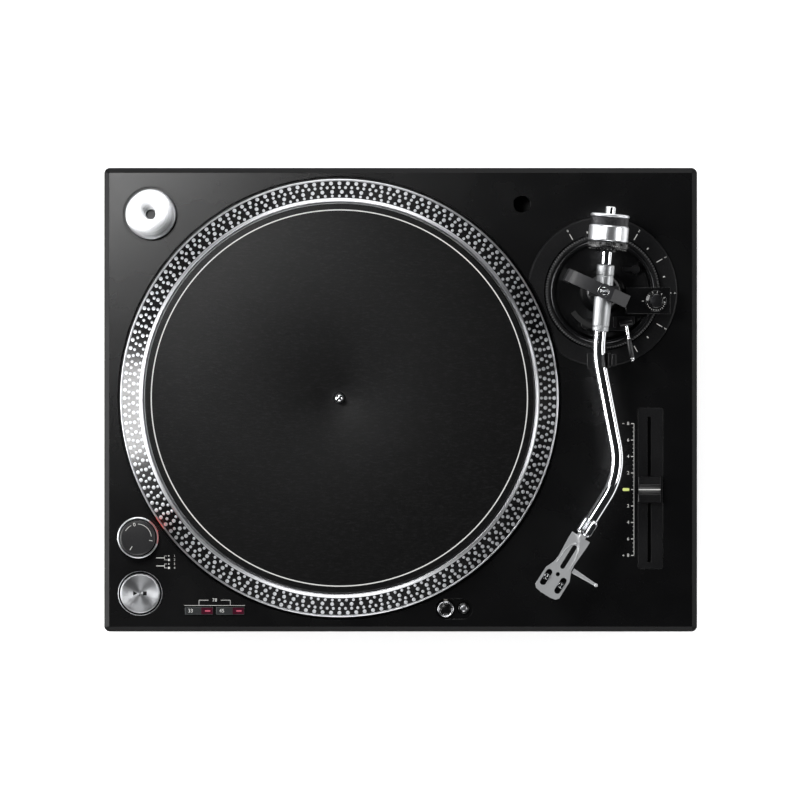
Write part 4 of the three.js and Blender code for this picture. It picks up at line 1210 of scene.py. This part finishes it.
    def cue(self):
        """Lever turned along its own line, in a bright root and a dark handle."""
        axle = np.array(JOINTS["cue_lift"]["pos_m"]) / MM
        hinge = level(JOINTS["cue_lift"]["axis"])
        ahead = np.cross(UP, hinge)
        far = np.array(middle("cue_lever")) - axle
        ahead = ahead if ahead @ far > 0 else -ahead
        root = [
            [0, 0.1], [1.1, 0.5], [1.15, 4], [1.15, 9], [0.9, 9.6], [0.9, 11], [1.2, 11.6], [1.3, 12.4],
            [0, 12.4],
        ]
        handle = [[0, 12.3], [1.5, 12.3], [1.85, 15], [1.88, 21], [1.88, 26.2], [1.6, 26.8], [0, 26.8]]
        tip = [[0, 26.7], [1.65, 26.7], [1.85, 27.1], [1.5, 28.4], [0.9, 29.3], [0, 29.6]]
        axle_rod = [[0, -5], [2.1, -5], [2.4, -4.6], [2.4, 4.6], [2.1, 5], [0, 5]]
        for name, shape, look, stands in (
            ("cue_root", root, "bright", ("cue_lever",)),
            ("cue_handle", handle, "grey", ()),
            ("cue_tip", tip, "bright", ()),
        ):
            part = laid(lathe(soften(shape, 0.2, 3), 40), axle, ahead)
            put(name, part, finish(look), "cue_lever", stands)
        part = laid(lathe(soften(axle_rod, 0.2, 2), 40), axle, hinge)
        put("cue_axle", part, finish("plastic"), "cue_lever")


class TURNTABLE_OT_arm(bpy.types.Operator):
    """Gimbal, arm tube, counterweight, collar, headshell and cartridge"""

    bl_idname = "turntable.arm"
    bl_label = "Pickup arm"

    def execute(self, context):
        self.rear()
        self.tube(context)
        self.weight()
        self.collar()
        self.head()
        return {"FINISHED"}

    def rear(self):
        """Gimbal frame, the turned housing with its cross pins, and the shaft of the weight."""
        refined("gimbal_frame", finish("grey"), 0.6)
        shape = [
            [0, -20], [6.0, -20], [6.6, -19.3], [6.7, -18], [6.7, -12.2], [6.35, -11.9], [6.35, -11.1],
            [6.7, -10.8], [6.7, 8], [6.5, 18], [6.25, 26.2], [5.9, 26.5], [5.9, 27.1], [6.15, 27.4],
            [6.0, 29.8], [5.5, 30.3], [0, 30.3],
        ]
        turned(
            "arm_housing_turned", shape, (0.25, 3), 96, PIVOT, "satin", "arm", "satin_silver",
            ("arm_housing",), along=FORE
        )
        pins = lathe(
            soften([[0, -10.6], [1.1, -10.6], [1.5, -10], [1.5, 10], [1.1, 10.6], [0, 10.6]], 0.2, 2), 40
        )
        put(
            "arm_pins", laid(pins, PIVOT, level(JOINTS["arm_pitch"]["axis"])), finish("chrome"), "arm",
        )
        shape = [[0, -64], [3.3, -64], [3.9, -63.4], [4, -63], [4, -20.3], [0, -20.3]]
        turned(
            "rear_shaft_ground", shape, (0.25, 3), 64, PIVOT, "chrome", "arm", "chrome", ("rear_shaft",),
            along=FORE
        )

    def tube(self, context):
        """Swept circle along two bends, each a curve that keeps its end tangents."""
        radius = min(context.scene.turntable_arm.tube_radius / MM, 4.8)
        centre = (WRIST - ELBOW) / np.linalg.norm(WRIST - ELBOW)
        path = [PIVOT + 30.6 * FORE]
        t = np.linspace(0, 1, 40)[:, None]
        for corner, a, b in (
            (ELBOW, ELBOW - 12 * FORE, ELBOW + 12 * centre),
            (WRIST, WRIST - 22 * centre, WRIST + 22 * HEAD),
        ):
            path.extend((1 - t) ** 2 * a + 2 * t * (1 - t) * corner + t**2 * b)
        path.append(WRIST + 41.2 * HEAD)
        put(
            "arm_tube_drawn", sweep(np.array(path), radius, 48), finish("chrome"), "arm",
            ("arm_tube",)
        )

    def weight(self):
        """Counterweight and its dial: turned along the arm's line, knurled by fine cosines."""
        diamond = lambda r, h, t: r + np.where(
            (h > -55.8) & (h < -49.7) & (r > 13), 0.16 * np.cos(84 * t) * np.cos(5.2 * h) - 0.16, 0
        )
        bands = [-49.8 - 0.25 * i for i in range(24)]
        rear = [[13.9, -49.6]] + [[14.4, h] for h in bands] + [[13.9, -55.9]]
        front = [
            [8.3, -49.7], [14.2, -49.7], [14.6, -49.3], [15.0, -48.7], [15.05, -48.2], [15.05, -38.9],
            [15.0, -38.3], [14.5, -37.6], [8.3, -37.5],
        ]
        band = [[8.3, -55.8]] + rear[::-1] + [[8.3, -49.7]]
        rim = [
            [8.3, -58.3], [13.8, -58.3], [14.5, -57.9], [14.85, -57.2], [14.7, -56.3], [14.1, -55.8],
            [8.3, -55.8],
        ]
        for name, shape, look, steps, ripple, stands in (
            ("weight_body", soften(front, 0.3, 3), "weight", 128, None, ("counterweight",)),
            ("weight_grip", band, "knurl", 420, diamond, ()),
            ("weight_rim", soften(rim, 0.3, 3), "weight", 128, None, ()),
        ):
            part = laid(lathe(shape, steps, ripple), PIVOT, FORE)
            put(name, part, finish(look), "counterweight", stands, angle=40)
        grip = lambda r, h, t: r - np.where(
            (h < -33) & (h > -36.4) & (r > 15), 0.22 * (np.sin(60 * t) > 0.2), 0
        )
        dial = [
            [4.3, -37.2], [14.9, -37.2], [15.45, -36.7], [15.5, -36.2], [15.5, -34.6], [15.4, -32.7],
            [14.6, -31.8], [9.2, -31.2], [8.2, -29.8], [7.9, -29.6], [4.3, -29.6],
        ]
        turned(
            "force_dial_turned", dial, (0.15, 2), 360, PIVOT, "gloss", "force_dial", "gloss_black",
            ("force_dial",), ripple=grip, along=FORE
        )
        self.dial_marks()

    def dial_marks(self):
        """Numbers on the dial's front face, wrapped round the axis."""
        turns = np.linspace(0, 2 * np.pi, 32, endpoint=False)
        ticks = spokes(turns, 13.2, 14.3, 0.25, -0.06, 0.06)
        long = spokes(turns[::8], 12.2, 14.3, 0.4, -0.06, 0.06)
        marks = [ticks, long]
        for i, angle in enumerate(turns[::8]):
            marks.append(
                numeral(
                    str(i), 2.2, 0.12, 10.9 * math.cos(angle), 10.9 * math.sin(angle), -0.06,
                    angle - math.pi / 2
                )
            )
        points, faces = joined(marks)
        radius = np.hypot(points[:, 0], points[:, 1])
        points[:, 2] += -31.78 + (14.6 - radius) * 0.6 / 5.4
        put("force_print", laid((points, faces), PIVOT, FORE), finish("print"), "force_dial")
        turns = np.linspace(0, 2 * np.pi, 64, endpoint=False)
        bars = spokes(turns, 15.2, 15.33, 0.3, -34.5, -33.6)
        put("force_ticks", laid(bars, PIVOT, FORE), finish("print"), "force_dial")

    def collar(self):
        """Locking collar, its grip cut by a cosine."""
        knurl = lambda r, h, t: r - np.where(
            (h > 43.2) & (h < 53.2) & (r > 5), 0.16 * (1 - np.cos(40 * t)), 0
        )
        shape = [
            [0, 41.5], [5.0, 41.5], [5.5, 42.0], [5.7, 42.6], [5.7, 43.1], [5.75, 43.3], [5.75, 48],
            [5.75, 53.1], [5.7, 53.3], [5.7, 53.9], [5.3, 54.6], [4.9, 54.8], [0, 54.8],
        ]
        turned(
            "collar_turned", shape, (0.12, 2), 240, WRIST, "chrome", "locking_collar", "chrome",
            ("locking_collar",), ripple=knurl, along=HEAD
        )

    def head(self):
        """Headshell, cartridge, stylus and screws, with the rib and the finger lift."""
        refined("headshell", finish("shell"), 0.35, 28)
        refined("cartridge", finish("gloss"), 0.4)
        refined("stylus", finish("pale"), 0.12)
        refined("cartridge_screw_left", finish("chrome"), 0.12)
        refined("cartridge_screw_right", finish("chrome"), 0.12)
        self.rib()
        self.finger()

    def rib(self):
        """Raised arch round the slot: half an ellipse closed over the back, with two straight legs."""
        side = np.cross(UP, HEAD)
        a = np.linspace(-np.pi / 2, np.pi / 2, 40)
        u = np.concatenate([[83.0], 78.0 - 15.0 * np.cos(a), [83.0]])
        v = np.concatenate([[-5.6], 5.4 * np.sin(a), [5.6]])
        path = WRIST + u[:, None] * HEAD + v[:, None] * side + 3.1 * UP
        put("headshell_rib", sweep(path, 0.55, 20), finish("shell"), "headshell")

    def finger(self):
        """Blade of the finger lift: a thin plate that narrows to a rolled end."""
        side = np.cross(UP, HEAD)
        side = side if (middle("finger_lift") - WRIST) @ side > 0 else -side
        u = np.linspace(0, 1, 61)[:, None]
        a = np.linspace(0, 2 * np.pi, 24, endpoint=False)[None, :]
        ball = np.sqrt(np.clip(1 - ((u - 0.935) / 0.065) ** 2, 0, 1))
        half = np.maximum(1.95 - 1.1 * u, 1.45 * ball)
        thick = np.maximum(0.75, 1.45 * ball)
        end = np.where(u > 0.995, 0.4, np.where(u > 0.96, ball / np.sqrt(0.85), 1.0))
        reach = 8.15 + 22.1 * u + 0 * a
        forward = 81.8 + half * end * np.sign(np.cos(a)) * np.abs(np.cos(a)) ** 0.6
        height = 1.4 + thick * end * np.sign(np.sin(a)) * np.abs(np.sin(a)) ** 0.6
        points = WRIST + reach[..., None] * side + forward[..., None] * HEAD + height[..., None] * UP
        n = a.size
        i, j = np.arange(len(u) - 1)[:, None], np.arange(n)[None, :]
        nxt = (j + 1) % n
        quads = np.stack([i * n + j, (i + 1) * n + j, (i + 1) * n + nxt, i * n + nxt], -1).reshape(-1, 4)
        if np.cross(HEAD, UP) @ side < 0:
            quads = quads[:, ::-1]
        top = np.arange(n).tolist()
        last = ((len(u) - 1) * n + np.arange(n)).tolist()
        caps = [top, last[::-1]] if np.cross(HEAD, UP) @ side > 0 else [top[::-1], last]
        part = (points.reshape(-1, 3), quads.tolist() + caps)
        put(
            "finger_lift_pressed", part, finish("shell"), "headshell", ("finger_lift",),
            angle=40
        )


class TURNTABLE_OT_stage(bpy.types.Operator):
    """Floor, soft lights and the camera above"""

    bl_idname = "turntable.stage"
    bl_label = "Stage"

    def execute(self, context):
        scene = context.scene
        points, faces = bricks([[0, 0, -10]], [9000, 9000, 20])
        mesh = bpy.data.meshes.new("floor")
        mesh.from_pydata((points * MM).tolist(), [], faces)
        floor = bpy.data.objects.new("floor", mesh)
        mesh.materials.append(finish("floor"))
        scene.collection.objects.link(floor)
        self.softbox("light_rear", (0.0, 3.6, 2.2), 2.6, 1.3, 82)
        self.softbox("light_front", (0.0, -3.6, 2.2), 2.6, 1.3, 72)
        self.softbox("light_left", (-3.6, 0.3, 2.2), 2.4, 1.3, 82)
        self.softbox("light_right", (3.6, 0.0, 2.2), 2.4, 1.3, 60)
        strip = self.softbox("light_strip", (-2.2, -0.13, 0.38), 0.98, 0.16, 24)
        strip.visible_diffuse = False
        key = self.softbox("light_key", (-0.3, 0.27, 1.0), 0.24, 0.24, 2.2)
        key.visible_camera = False
        world = bpy.data.worlds.new("studio")
        world.use_nodes = True
        back = world.node_tree.nodes["Background"]
        back.inputs[0].default_value = (0.92, 0.95, 1.0, 1.0)
        back.inputs[1].default_value = 0.02
        scene.world = world
        lens = bpy.data.cameras.new("camera")
        lens.lens, lens.sensor_width, lens.clip_end = FOCAL_LENGTH, 36.0, 40.0
        camera = bpy.data.objects.new("camera", lens)
        camera.location = CAMERA_AT
        scene.collection.objects.link(camera)
        scene.camera = camera
        scene.view_settings.view_transform = "Standard"
        return {"FINISHED"}

    def softbox(self, name, place, width, depth, power):
        """A rectangular light turned so that it shines at the turntable."""
        light = bpy.data.lights.new(name, "AREA")
        light.shape, light.size, light.size_y, light.energy = "RECTANGLE", width, depth, power
        box = bpy.data.objects.new(name, light)
        box.location = place
        aim = -Vector(place)
        box.rotation_euler = aim.to_track_quat("-Z", "Y").to_euler()
        bpy.context.scene.collection.objects.link(box)
        return box


class TURNTABLE_PT_build(bpy.types.Panel):
    """Settings of the turntable and a button for each group"""

    bl_idname = "TURNTABLE_PT_build"
    bl_label = "Turntable"
    bl_space_type = "VIEW_3D"
    bl_region_type = "UI"
    bl_category = "Turntable"

    def draw(self, context):
        scene = context.scene
        for settings in (scene.turntable_plinth, scene.turntable_platter, scene.turntable_arm):
            for field in settings.bl_rna.properties.keys():
                if field not in ("rna_type", "name"):
                    self.layout.prop(settings, field)
        for operator in OPERATORS:
            self.layout.operator(operator.bl_idname)


OPERATORS = (
    TURNTABLE_OT_plinth,
    TURNTABLE_OT_platter,
    TURNTABLE_OT_controls,
    TURNTABLE_OT_arm_base,
    TURNTABLE_OT_arm,
    TURNTABLE_OT_stage,
)
CLASSES = (TurntablePlinth, TurntablePlatter, TurntableArm, *OPERATORS, TURNTABLE_PT_build)


def register():
    for item in CLASSES:
        bpy.utils.register_class(item)
    bpy.types.Scene.turntable_plinth = bpy.props.PointerProperty(type=TurntablePlinth)
    bpy.types.Scene.turntable_platter = bpy.props.PointerProperty(type=TurntablePlatter)
    bpy.types.Scene.turntable_arm = bpy.props.PointerProperty(type=TurntableArm)


def unregister():
    del bpy.types.Scene.turntable_arm
    del bpy.types.Scene.turntable_platter
    del bpy.types.Scene.turntable_plinth
    for item in reversed(CLASSES):
        bpy.utils.unregister_class(item)


def main():
    """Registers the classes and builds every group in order."""
    register()
    for operator in OPERATORS:
        group_name, call = operator.bl_idname.split(".")
        result = getattr(getattr(bpy.ops, group_name), call)()
        if result != {"FINISHED"}:
            raise RuntimeError(operator.bl_label + " could not be built")


if __name__ == "__main__":
    main()
